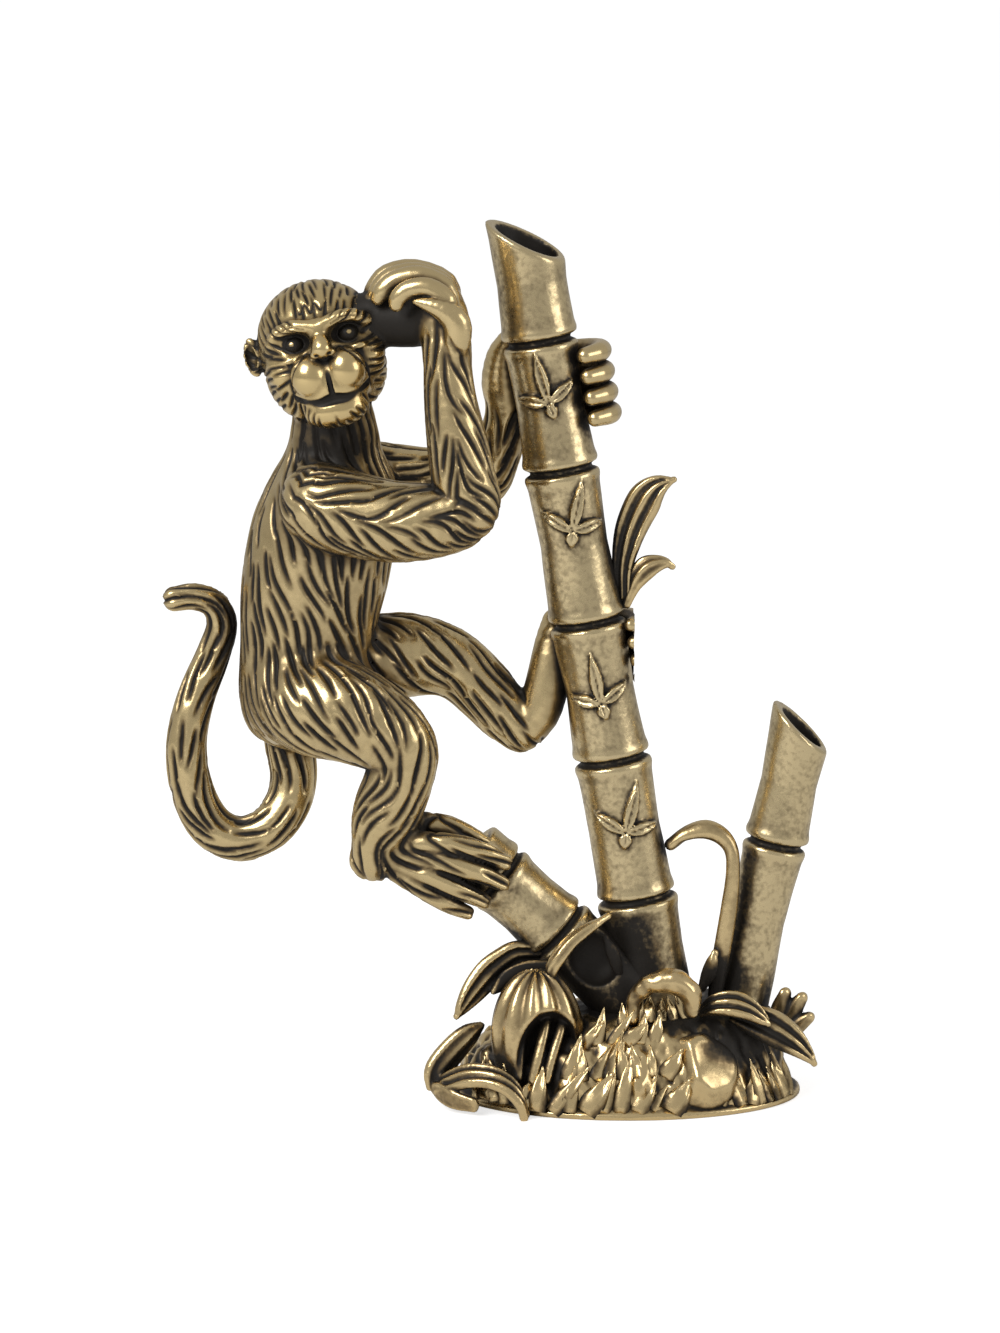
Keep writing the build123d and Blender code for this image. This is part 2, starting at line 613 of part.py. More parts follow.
with BuildPart() as upper_leaf_long:
    add(leaf([leaf_root + heading(0, 70) * long_leaf_length * 0.02,
              leaf_root + heading(0, 66) * long_leaf_length * 0.35,
              leaf_root + heading(0, 66) * long_leaf_length * 0.7,
              leaf_root + heading(0, 63) * long_leaf_length], leaf_width, leaf_thickness))
    add(main_stalk.part, mode=Mode.SUBTRACT)

with BuildPart() as upper_leaf_short:
    add(leaf([leaf_root + heading(-20, 0) * short_leaf_length * 0.02,
              leaf_root + heading(-20, 22) * short_leaf_length * 0.4,
              leaf_root + heading(-20, 36) * short_leaf_length * 0.75,
              leaf_root + heading(-18, 24) * short_leaf_length], leaf_width * 0.7, leaf_thickness))
    add([main_stalk.part, upper_leaf_long.part], mode=Mode.SUBTRACT)

# Pieces on the mound. Places are shares of the mound's half length, half depth and height.


def ground_point(x, y, z):
    return Vector(mound_middle + x * mound_length / 2, y * mound_depth / 2, z * mound_height)


with BuildPart() as bamboo_shoot:
    sprout_shares = [(0, 0.8), (0.2, 1), (0.5, 1.02), (0.75, 0.8), (0.92, 0.45), (1, 0.15)]
    foot = ground_point(-0.49, -0.56, 0.14)
    add(tube([foot + heading(90, 78) * (sprout_height * along) for along, _ in sprout_shares],
             [(sprout_radius * size, sprout_radius * size) for _, size in sprout_shares]))
    add([base_mound.part, stump.part], mode=Mode.SUBTRACT)

with BuildPart() as sheath_leaf:
    root = ground_point(-0.5, -0.32, 1.24)
    add(leaf([root, root + heading(190, 2) * sheath_leaf_length * 0.4,
              root + heading(190, -10) * sheath_leaf_length * 0.75,
              root + heading(190, -26) * sheath_leaf_length], leaf_width, leaf_thickness))
    add([base_mound.part, bamboo_shoot.part, stump.part], mode=Mode.SUBTRACT)

with BuildPart() as arched_leaf:
    root = ground_point(-0.43, -0.5, 1.1)
    end = round_axis(stalk_foot, stalk_axis, mound_height * 1.84, 235, stalk_radius * 0.95)
    add(leaf([root, mix(root, end, 0.35) + heading(230, 40) * leaf_thickness * 1.6,
              mix(root, end, 0.7) + heading(240, 36) * leaf_thickness * 1.9, end],
             leaf_width, leaf_thickness))
    add([base_mound.part, bamboo_shoot.part, stump.part, main_stalk.part], mode=Mode.SUBTRACT)

with BuildPart() as curled_leaf:
    curl_shares = [(-1.02, -0.28, 0.2, 0.5), (-0.98, -0.36, 0.34, 0.9), (-0.86, -0.5, 0.42, 1),
                   (-0.7, -0.64, 0.36, 0.95), (-0.56, -0.78, 0.2, 0.8), (-0.48, -0.86, 0.02, 0.6)]
    add(tube([ground_point(x, y, z) for x, y, z, _ in curl_shares],
             [(curl_radius * size, curl_radius * size) for *_, size in curl_shares], up))
    split(bisect_by=Plane.XY, keep=Keep.TOP)
    add([base_mound.part, bamboo_shoot.part], mode=Mode.SUBTRACT)

with BuildPart() as rock:
    add(lump(ground_point(0.4, -0.6, 0.42), (rock_radius * 1.1, rock_radius, rock_radius * 0.9)))
    split(bisect_by=Plane.XY, keep=Keep.TOP)
    add(base_mound.part, mode=Mode.SUBTRACT)

with BuildPart() as root_knob:
    knob_shares = [(0.04, -0.44, 0.8, 0.9), (0.08, -0.52, 1.16, 1), (0.17, -0.56, 1.3, 1.05),
                   (0.26, -0.58, 1.28, 1), (0.33, -0.6, 1.1, 0.9), (0.35, -0.6, 0.84, 0.7)]
    add(tube([ground_point(x, y, z) for x, y, z, _ in knob_shares],
             [(knob_radius * size, knob_radius * size) for *_, size in knob_shares]))
    add([base_mound.part, rock.part, main_stalk.part, stump.part], mode=Mode.SUBTRACT)

with BuildPart() as floor_leaf:
    root = ground_point(0.52, -0.26, 0.82)
    add(leaf([root, root + heading(-25, 12) * floor_leaf_length * 0.35,
              root + heading(-22, 2) * floor_leaf_length * 0.7,
              root + heading(-20, -12) * floor_leaf_length], leaf_width, leaf_thickness, up))
    add([base_mound.part, small_stalk.part, rock.part], mode=Mode.SUBTRACT)

with BuildPart() as ribbed_leaf:
    root = ground_point(0.4, -0.42, 0.78)
    add(leaf([root, root + heading(-8, 24) * ribbed_leaf_length * 0.35,
              root + heading(-8, 10) * ribbed_leaf_length * 0.7,
              root + heading(-8, -6) * ribbed_leaf_length], leaf_width, leaf_thickness * 1.5, up))
    add([base_mound.part, small_stalk.part, rock.part, floor_leaf.part, root_knob.part], mode=Mode.SUBTRACT)

with BuildPart() as tuft:
    tuft_shares = [(0.78, 0.4, 0.8), (0.84, 0.7, 1), (0.9, 0.92, 1), (0.94, 1.08, 0.75), (0.96, 1.16, 0.35)]
    add(tube([ground_point(x, -0.14, z) for x, z, _ in tuft_shares],
             [(tuft_radius * size, tuft_radius * size) for *_, size in tuft_shares]))
    add([base_mound.part, small_stalk.part, floor_leaf.part], mode=Mode.SUBTRACT)

with BuildPart() as grass_blades:
    # Shares are (lean, out, rise, width)
    blade_shares = [(0, 1, 0.04, 0.7), (0.03, 0.97, 0.42, 1), (0.06, 0.76, 0.82, 0.35)]
    blades = []
    for place in range(blade_count):
        x = blade_start_share + blade_step_share * place
        edge = -((1 - x * x) ** 0.5)
        tall = 0.88 + 0.14 * cos(place * 2.4)
        lean = 1.4 * sin(place * 1.9)
        places = [ground_point(x + side * lean, edge * out, rise * tall)
                  for side, out, rise, _ in blade_shares]
        halves = [(blade_width * size / 2, blade_width / 2) for *_, size in blade_shares]
        blades.append(tube(places, halves, facets=4))
    add(blades)
    add([base_mound.part, curled_leaf.part, bamboo_shoot.part, rock.part], mode=Mode.SUBTRACT)

pieces = {
    "base_mound": base_mound, "main_stalk": main_stalk, "small_stalk": small_stalk, "stump": stump,
    "bridge_leaf": bridge_leaf, "upper_leaf_long": upper_leaf_long, "upper_leaf_short": upper_leaf_short,
    "bamboo_shoot": bamboo_shoot, "sheath_leaf": sheath_leaf, "arched_leaf": arched_leaf,
    "curled_leaf": curled_leaf, "rock": rock, "root_knob": root_knob, "floor_leaf": floor_leaf,
    "ribbed_leaf": ribbed_leaf, "tuft": tuft, "grass_blades": grass_blades, "torso": torso, "head": head,
    "right_ear": right_ear, "left_ear": left_ear, "right_upper_arm": right_upper_arm,
    "right_forearm": right_forearm, "right_hand": right_hand, "left_upper_arm": left_upper_arm,
    "left_forearm": left_forearm, "left_hand": left_hand, "right_thigh": right_thigh,
    "right_shin": right_shin, "right_foot": right_foot, "left_thigh": left_thigh, "left_shin": left_shin,
    "left_foot": left_foot, "tail": tail,
}

# The origin is the middle of the underside of the whole object's box
boxes = [piece.part.bounding_box() for piece in pieces.values()]
middle_x = (min(box.min.X for box in boxes) + max(box.max.X for box in boxes)) / 2
middle_y = (min(box.min.Y for box in boxes) + max(box.max.Y for box in boxes)) / 2
to_origin = Location((-middle_x, -middle_y, 0))

for name, piece in pieces.items():
    solid = piece.part.moved(to_origin)
    solid.label = name
    export_step(solid, f"parts/{name}.step")
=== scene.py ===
import math
import bpy
import numpy as np
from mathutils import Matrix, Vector, kdtree


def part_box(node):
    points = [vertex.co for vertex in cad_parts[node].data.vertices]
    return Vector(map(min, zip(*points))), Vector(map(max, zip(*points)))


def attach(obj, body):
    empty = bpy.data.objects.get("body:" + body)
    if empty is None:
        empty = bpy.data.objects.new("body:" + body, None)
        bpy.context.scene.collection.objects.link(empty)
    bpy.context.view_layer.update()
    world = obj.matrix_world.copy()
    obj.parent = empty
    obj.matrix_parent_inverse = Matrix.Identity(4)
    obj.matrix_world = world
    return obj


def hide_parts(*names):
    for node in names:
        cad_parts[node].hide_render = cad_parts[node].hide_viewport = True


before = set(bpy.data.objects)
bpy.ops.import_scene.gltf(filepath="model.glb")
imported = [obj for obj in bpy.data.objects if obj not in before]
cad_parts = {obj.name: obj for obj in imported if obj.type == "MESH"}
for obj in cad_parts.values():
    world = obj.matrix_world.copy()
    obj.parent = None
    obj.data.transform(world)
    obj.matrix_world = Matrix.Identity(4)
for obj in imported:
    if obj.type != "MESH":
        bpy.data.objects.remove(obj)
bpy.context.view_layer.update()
print("frame loaded")

# A brass monkey that climbs a bamboo stalk. Every form is a distance field in millimetres, meshed on a
# grid; fur is engraved along flow lines; patina is read from how deep a place is, and painted shade
# from how hidden it is.

mm = 0.001
rng = np.random.default_rng(11)
fineness = 1.0  # grid steps are this many times coarser


def boxMiddle(node):
    low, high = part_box(node)
    return (np.array(low) + np.array(high)) / 2 / mm


# All places below are in millimetres from a mark on the floor, which sits at markInMound from the middle
# of the mound, so that they follow the frame.
markInMound = np.array([9.44, -0.15, 0.0])
shift = boxMiddle("base_mound") * [1, 1, 0] - markInMound


# Distance fields

def vec(*values):
    return np.array(values, dtype=np.float32)


def smoothMin(a, b, k):
    h = np.clip(0.5 + 0.5 * (b - a) / k, 0, 1)
    return b + (a - b) * h - k * h * (1 - h)


def smoothMax(a, b, k):
    return -smoothMin(-a, -b, k)


def ellipsoid(p, middle, radii):
    q = (p - vec(*middle)) / vec(*radii)
    k0 = np.linalg.norm(q, axis=-1)
    k1 = np.linalg.norm(q / vec(*radii), axis=-1)
    return k0 * (k0 - 1) / np.maximum(k1, 1e-4)


def refine(points, parts):
    # Catmull-Rom through rows of numbers, parts steps between each two
    rows = np.array(points, dtype=np.float32)
    padded = np.vstack([2 * rows[0] - rows[1], rows, 2 * rows[-1] - rows[-2]])
    out = []
    for i in range(1, len(padded) - 2):
        a, b, c, d = padded[i - 1:i + 3]
        for t in np.arange(parts) / parts:
            out.append(0.5 * (2 * b + (c - a) * t + (2 * a - 5 * b + 4 * c - d) * t * t
                              + (3 * b - a - 3 * c + d) * t ** 3))
    out.append(padded[-2])
    return np.array(out, dtype=np.float32)


def tube(p, rows, parts=5, flat=None):
    # Round tube through rows of x, y, z, radius. flat = (direction, share) squeezes it along a direction.
    rows = refine(rows, parts)
    best = np.full(p.shape[:-1], 1e3, dtype=np.float32)
    for a, b in zip(rows, rows[1:]):
        line = b[:3] - a[:3]
        q = p - a[:3]
        t = np.clip(q @ line / (line @ line + 1e-9), 0, 1)
        away = q - t[..., None] * line
        if flat is not None:
            part = away @ flat[0]
            away = away + ((1 / flat[1] - 1) * part)[..., None] * flat[0]
        best = np.minimum(best, np.linalg.norm(away, axis=-1) - (a[3] + t * (b[3] - a[3])))
    return best


def section(p, rows):
    # Upright body through rows of x, y, z, half width, half depth
    rows = refine(rows, 8)
    z = np.clip(p[..., 2], rows[0, 2], rows[-1, 2])
    x, y, wide, deep = (np.interp(z, rows[:, 2], rows[:, i]) for i in (0, 1, 3, 4))
    q = np.stack([(p[..., 0] - x) / wide, (p[..., 1] - y) / deep], axis=-1)
    side = (np.linalg.norm(q, axis=-1) - 1) * np.minimum(wide, deep) * 0.95
    over = np.abs(p[..., 2] - z)
    return np.where(over > 0, np.hypot(np.maximum(side, 0), over), side).astype(np.float32)


def frameAt(origin, right, out, up):
    # Rows of a local frame, to read places in it
    return np.array(origin, dtype=np.float32), np.array([right, out, up], dtype=np.float32)


def localOf(p, place):
    origin, axes = place
    return (p - origin) @ axes.T


def worldOf(q, place):
    origin, axes = place
    return np.asarray(q, dtype=np.float32) @ axes + origin


# Grids and meshes

class Shape:
    # A field sampled on a grid: coarse first, then fine only near the surface
    def __init__(self, field, low, high, step):
        step = step * fineness
        self.field, self.step = field, step
        self.low = np.array(low, dtype=np.float32)
        counts = (np.ceil((np.array(high) - self.low) / step / 4).astype(int) + 1) * 4 + 1
        axes = [self.low[i] + step * np.arange(counts[i], dtype=np.float32) for i in range(3)]
        rough = field(np.stack(np.meshgrid(*[a[::4] for a in axes], indexing="ij"), axis=-1))
        values = rough
        for axis in range(3):
            values = self.stretch(values, axis)
        near = np.abs(values) < step * 5
        spots = np.argwhere(near)
        values[near] = field(self.low + step * spots.astype(np.float32))
        self.values = values

    @staticmethod
    def stretch(values, axis):
        a = np.moveaxis(values, axis, 0)
        out = np.empty((4 * (len(a) - 1) + 1,) + a.shape[1:], dtype=np.float32)
        out[-1] = a[-1]
        for i in range(4):
            out[i:-1:4] = a[:-1] * (1 - i / 4) + a[1:] * (i / 4)
        return np.moveaxis(out, 0, axis)

    def read(self, p):
        # The distance at any points, by interpolation; far outside the grid it is large
        q = (p - self.low) / self.step
        size = np.array(self.values.shape) - 1
        inside = np.all((q >= 0) & (q < size), axis=-1)
        q = np.clip(q, 0, size - 1e-3)
        i = q.astype(int)
        f = q - i
        out = 0
        for corner in range(8):
            c = np.array([corner & 1, corner >> 1 & 1, corner >> 2])
            weight = np.prod(np.where(c, f, 1 - f), axis=-1)
            out = out + weight * self.values[i[:, 0] + c[0], i[:, 1] + c[1], i[:, 2] + c[2]]
        return np.where(inside, out, 9)

    def mesh(self):
        # Surface nets: one vertex in each cell that the surface crosses, one quad for each crossed edge
        v = self.values
        solid = v < 0
        count = sum(solid[x:v.shape[0] - 1 + x, y:v.shape[1] - 1 + y, z:v.shape[2] - 1 + z].astype(np.int8)
                    for x in (0, 1) for y in (0, 1) for z in (0, 1))
        cells = np.argwhere((count > 0) & (count < 8))
        index = np.full(count.shape, -1, dtype=np.int32)
        index[tuple(cells.T)] = np.arange(len(cells))
        total, hits = np.zeros((len(cells), 3)), np.zeros(len(cells))
        for axis in range(3):
            for s in (0, 1):
                for t in (0, 1):
                    start = np.zeros(3, int)
                    start[(axis + 1) % 3], start[(axis + 2) % 3] = s, t
                    end = start.copy()
                    end[axis] = 1
                    a = v[tuple((cells + start).T)]
                    b = v[tuple((cells + end).T)]
                    crossed = (a < 0) != (b < 0)
                    share = np.where(crossed, a / np.where(crossed, a - b, 1), 0)
                    place = start + share[:, None] * (end - start)
                    total += place * crossed[:, None]
                    hits += crossed
        verts = self.low + self.step * (cells + total / hits[:, None])
        quads = []
        for axis in range(3):
            edge = np.diff(solid.astype(np.int8), axis=axis)
            spots = np.argwhere(edge != 0)
            other = [(axis + 1) % 3, (axis + 2) % 3]
            keep = np.all([(spots[:, o] > 0) & (spots[:, o] < count.shape[o]) for o in other], axis=0)
            spots = spots[keep]
            ring = []
            for s, t in ((0, 0), (1, 0), (1, 1), (0, 1)):
                back = np.zeros(3, int)
                back[other[0]], back[other[1]] = s, t
                ring.append(index[tuple((spots - back).T)])
            ring = np.stack(ring, axis=-1)
            flip = edge[tuple(spots.T)] > 0
            ring[flip] = ring[flip][:, ::-1]
            quads.append(ring)
        return verts.astype(np.float32), np.vstack(quads)


def normalsOf(verts, faces):
    a, b, c, d = (verts[faces[:, i]] for i in range(4))
    n = np.cross(c - a, d - b)
    out = np.zeros_like(verts)
    for i in range(4):
        for k in range(3):
            out[:, k] += np.bincount(faces[:, i], n[:, k], minlength=len(verts))
    return out / np.maximum(np.linalg.norm(out, axis=1, keepdims=True), 1e-9)


def edgesOf(faces):
    pairs = np.vstack([faces[:, [i, (i + 1) % 4]] for i in range(4)])
    return np.unique(np.sort(pairs, axis=1), axis=0)


def relax(values, edges, times):
    # Averages with the neighbours along the mesh
    n = len(values)
    degree = np.bincount(edges.ravel(), minlength=n)[:, None].clip(1)
    out = values.astype(np.float64)
    for _ in range(times):
        total = np.stack([np.bincount(edges[:, 0], out[edges[:, 1], k], minlength=n)
                          + np.bincount(edges[:, 1], out[edges[:, 0], k], minlength=n)
                          for k in range(out.shape[1])], axis=1)
        out = 0.4 * out + 0.6 * total / degree
    return out


pieceShapes = []  # every sculpted shape, for what hides what


def hiddenAt(verts, normals):
    # Painted shade, with patina: how hidden each place is, baked into the colour
    # 0 in the open to 1 deep between forms, read from the distance fields above the surface
    out = np.zeros(len(verts))
    for height, weight in ((0.5, 0.35), (1.1, 0.35), (2.2, 0.3)):
        spots = verts + normals * height
        nearest = np.full(len(verts), 9.0)
        for shape in pieceShapes:
            nearest = np.minimum(nearest, shape.read(spots))
        out += weight * np.clip(1 - nearest / height, 0, 1)
    return out


def added(name, data):
    thing = bpy.data.objects.new(name, data)
    bpy.context.collection.objects.link(thing)
    return thing


def pieceFrom(name, verts, faces, normals, marks, material, slot, nodes):
    mesh = bpy.data.meshes.new(name)
    mesh.from_pydata(((verts + shift) * mm).tolist(), [], [[i for i in f if i >= 0] for f in faces.tolist()])
    mesh.validate()
    mesh.update(calc_edges=True)
    mesh.polygons.foreach_set("use_smooth", [True] * len(mesh.polygons))
    for label, values in zip(("cavity", "hidden"), marks):
        layer = mesh.attributes.new(label, "FLOAT", "POINT")
        layer.data.foreach_set("value", np.asarray(values, dtype=np.float32))
    mesh.normals_split_custom_set_from_vertices(normals.tolist())
    mesh.materials.append(material)
    piece = added(name, mesh)
    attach(piece, "root")
    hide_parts(*nodes)
    print(name, len(mesh.polygons), "faces")


def keepPart(faces, mask, count):
    # The faces of the mask, and the loop of vertices round each opening that they leave
    kept = faces[mask]
    directed = np.vstack([kept[:, [i, (i + 1) % 4]] for i in range(4)])
    keys = directed[:, 0].astype(np.int64) * count + directed[:, 1]
    back = directed[:, 1].astype(np.int64) * count + directed[:, 0]
    rim = directed[~np.isin(keys, back)]
    follow = {}
    for a, b in rim.tolist():
        follow.setdefault(a, []).append(b)
    loops = []
    while follow:
        at = next(iter(follow))
        loop = []
        while at in follow:
            loop.append(at)
            ways = follow[at]
            following = ways.pop()
            if not ways:
                del follow[at]
            at = following
        loops.append(loop)
    return kept, loops


def closedPart(surface, mask):
    # One part of a surface, with a fan over each opening
    verts, normals, faces, marks = (surface[key] for key in ("verts", "normals", "faces", "marks"))
    kept, loops = keepPart(faces, mask, len(verts))
    caps = []
    for loop in loops:
        centre = len(verts)
        verts, normals = (np.vstack([rows, rows[loop].mean(axis=0)]) for rows in (verts, normals))
        marks = [np.append(values, values[loop].mean()) for values in marks]
        caps += [[b, a, centre, -1] for a, b in zip(loop, loop[1:] + loop[:1])]
    allFaces = np.vstack([kept, np.array(caps, dtype=kept.dtype).reshape(-1, 4)])
    used = np.unique(allFaces[allFaces >= 0])
    remap = np.full(len(verts) + 1, -1)
    remap[used] = np.arange(len(used))
    return verts[used], remap[allFaces], normals[used], [values[used] for values in marks]


# Fur

seedTries = 60000


def flowLines(verts, normals, allowed, shape, spacing, reach, step=0.12):
    # Lines along the flow: seeds spread by their distance across and along it, then traced on the surface
    candidates = rng.permutation(np.flatnonzero(allowed))[:seedTries]
    seeds = np.zeros((0, 3))
    tangents = np.zeros((0, 3))
    flows = flowAt(verts[candidates], normals[candidates])
    for i, f in zip(candidates, flows):
        if len(seeds):
            gap = verts[i] - seeds
            near = np.abs(gap).max(axis=1) < reach
            gap = gap[near]
            along = (gap * tangents[near]).sum(axis=1)
            across = np.sqrt(np.maximum((gap ** 2).sum(axis=1) - along ** 2, 0))
            if np.any((across / spacing) ** 2 + (along / (reach * 0.8)) ** 2 < 1):
                continue
        seeds = np.vstack([seeds, verts[i]])
        tangents = np.vstack([tangents, f])
    lengths = reach * rng.uniform(0.6, 1.15, len(seeds))
    depths = rng.uniform(0.7, 1.0, len(seeds))
    rows = []
    for way in (1, -1):
        p = seeds.copy()
        heading = tangents * way
        for k in range(int(reach * 1.15 / 2 / step) + 1):
            done = k * step / (lengths / 2)
            live = done < 1
            taper = np.sqrt(np.clip(1 - done ** 2, 0, 1)) * depths
            rows.append(np.column_stack([p[live], taper[live]]))
            n = gradient(shape, p)
            f = flowAt(p, n)
            f = f * np.sign((f * heading).sum(axis=1, keepdims=True))
            heading = f
            p = p + f * step
            n = gradient(shape, p)
            p = p - n * shape.read(p)[:, None]
    return np.vstack(rows)


def gradient(shape, p):
    n = np.stack([shape.read(p + way) - shape.read(p - way) for way in np.eye(3) * shape.step], axis=1)
    return n / np.maximum(np.linalg.norm(n, axis=1, keepdims=True), 1e-6)


def grooveAt(verts, rows, width):
    # How deep the nearest line cuts at each vertex, 0 to 1
    tree = kdtree.KDTree(len(rows))
    for i, row in enumerate(rows):
        tree.insert(row[:3], i)
    tree.balance()
    out = np.zeros(len(verts))
    for i, v in enumerate(verts):
        _, j, d = tree.find(v)
        out[i] = rows[j][3] * math.exp(-(d / width) ** 2)
    return out


# Materials

class Tree:
    # Makes the nodes of one tree. An input takes a plain value or another node's output.
    def __init__(self, tree):
        self.nodes, self.links = tree.nodes, tree.links

    def put(self, value, socket):
        if isinstance(value, bpy.types.NodeSocket):
            self.links.new(value, socket)
        else:
            socket.default_value = value

    def fill(self, made, inputs):
        for key, value in inputs.items():
            self.put(value, made.inputs[key])

    def node(self, kind, inputs=None, **settings):
        made = self.nodes.new(kind)
        for key, value in settings.items():
            setattr(made, key, value)
        self.fill(made, inputs or {})
        return made.outputs

    def maths(self, kind, *values):
        return self.node("ShaderNodeMath", dict(enumerate(values)), operation=kind)[0]


def socketsOf(group, inputs, outputs):
    for name, kind, value in inputs:
        socket = group.interface.new_socket(name=name, in_out="INPUT", socket_type="NodeSocket" + kind)
        if value is not None:
            socket.default_value = value
    for name, kind in outputs:
        group.interface.new_socket(name=name, in_out="OUTPUT", socket_type="NodeSocket" + kind)
    return group.nodes.new("NodeGroupInput").outputs, group.nodes.new("NodeGroupOutput").inputs


def patinaGroup():
    # Old brass: dark in grooves, and in hidden places for painted shade and patina; brown between,
    # rubbed bright on the high places
    group = bpy.data.node_groups.new("patina", "ShaderNodeTree")
    given, result = socketsOf(group, [
        ("Bright", "Color", (0.8, 0.6, 0.3, 1)), ("Brown", "Color", (0.4, 0.26, 0.12, 1)),
        ("Dark", "Color", (0.02, 0.016, 0.012, 1)), ("Cavity", "Float", 0.0), ("Hidden", "Float", 0.0),
        ("Wear", "Float", 0.5), ("ShadeAndGrime", "Float", 0.9), ("Grain", "Float", 0.2)],
        [("Color", "Color"), ("Roughness", "Float"), ("Metallic", "Float"), ("Height", "Float")])
    tree = Tree(group)
    node, maths = tree.node, tree.maths
    place = node("ShaderNodeTexCoord")["Object"]
    broad, fine = (node("ShaderNodeTexNoise", {"Vector": place, "Scale": scale, "Detail": detail})["Fac"]
                   for scale, detail in ((450, 3), (2600, 4)))
    # Hidden paints shade into the colour here, along with patina
    dirtAndShade = maths("ADD", given["Cavity"], maths("MULTIPLY", given["Hidden"], given["ShadeAndGrime"]))
    for noise, amount in ((broad, 0.45), (fine, given["Grain"])):
        dirtAndShade = maths("ADD", dirtAndShade, maths("MULTIPLY", maths("SUBTRACT", noise, 0.5), amount))
    dark = node("ShaderNodeMapRange", {"Value": dirtAndShade, "From Min": 0.3, "From Max": 0.85},
                interpolation_type="SMOOTHSTEP")["Result"]
    worn = maths("SUBTRACT", dirtAndShade, maths("MULTIPLY", given["Wear"], 0.4))
    brown = node("ShaderNodeMapRange", {"Value": worn, "From Min": -0.25, "From Max": 0.3})["Result"]
    color = given["Bright"]
    for share, coat in ((brown, given["Brown"]), (dark, given["Dark"])):
        color = node("ShaderNodeMix", {"Factor": share, "A": color, "B": coat}, data_type="RGBA")["Result"]
    rough = maths("ADD", maths("MULTIPLY", brown, 0.1), maths("MULTIPLY", dark, 0.22))
    values = {"Color": color, "Roughness": maths("ADD", rough, maths("MULTIPLY", fine, 0.16)),
              "Metallic": maths("SUBTRACT", 1, maths("MULTIPLY", dark, 0.6)),
              "Height": maths("ADD", maths("MULTIPLY", fine, 0.5), broad)}
    for label, value in values.items():
        tree.put(value, result[label])
    return group


patina = patinaGroup()


def brass(name, bright, brown, wear, bump, base, shadeAndGrime=0.9, grain=0.2):
    material = bpy.data.materials.new(name)
    material.use_nodes = True
    tree = Tree(material.node_tree)
    marks = {label: tree.node("ShaderNodeAttribute", attribute_name=label.lower())["Fac"]
             for label in ("Cavity", "Hidden")}
    old = tree.node("ShaderNodeGroup", {"Bright": (*bright, 1), "Brown": (*brown, 1), "Wear": wear,
                                        "ShadeAndGrime": shadeAndGrime, "Grain": grain, **marks}, node_tree=patina)
    relief = tree.node("ShaderNodeBump", {"Strength": bump, "Distance": 0.1 * mm, "Height": old["Height"]})
    tree.fill(material.node_tree.nodes["Principled BSDF"], {
        "Base Color": old["Color"], "Metallic": old["Metallic"], "Normal": relief["Normal"],
        "Roughness": tree.maths("ADD", old["Roughness"], base)})
    return material


finishes = {
    "furBrass": {
        "bright": (0.76, 0.59, 0.31), "brown": (0.26, 0.185, 0.095), "wear": 0.42, "bump": 0.14,
        "base": 0.18,
    },
    "faceBrass": {
        "bright": (0.8, 0.61, 0.3), "brown": (0.32, 0.225, 0.105), "wear": 0.55, "bump": 0.08, "base": 0.15,
    },
    "bambooBrass": {
        "bright": (0.76, 0.61, 0.35), "brown": (0.25, 0.19, 0.11), "wear": 0.3, "bump": 0.3, "base": 0.18,
        "shadeAndGrime": 1.1, "grain": 1.1,
    },
    "groundBrass": {
        "bright": (0.8, 0.61, 0.32), "brown": (0.22, 0.155, 0.08), "wear": 0.28, "bump": 0.25, "base": 0.16,
        "shadeAndGrime": 1.7, "grain": 0.5,
    },
}
furBrass, faceBrass, bambooBrass, groundBrass = (brass(name, **finish) for name, finish in finishes.items())
print("materials")

# The monkey's body
# Rows are x, y, z, radius in millimetres; the monkey's right limbs are the near ones

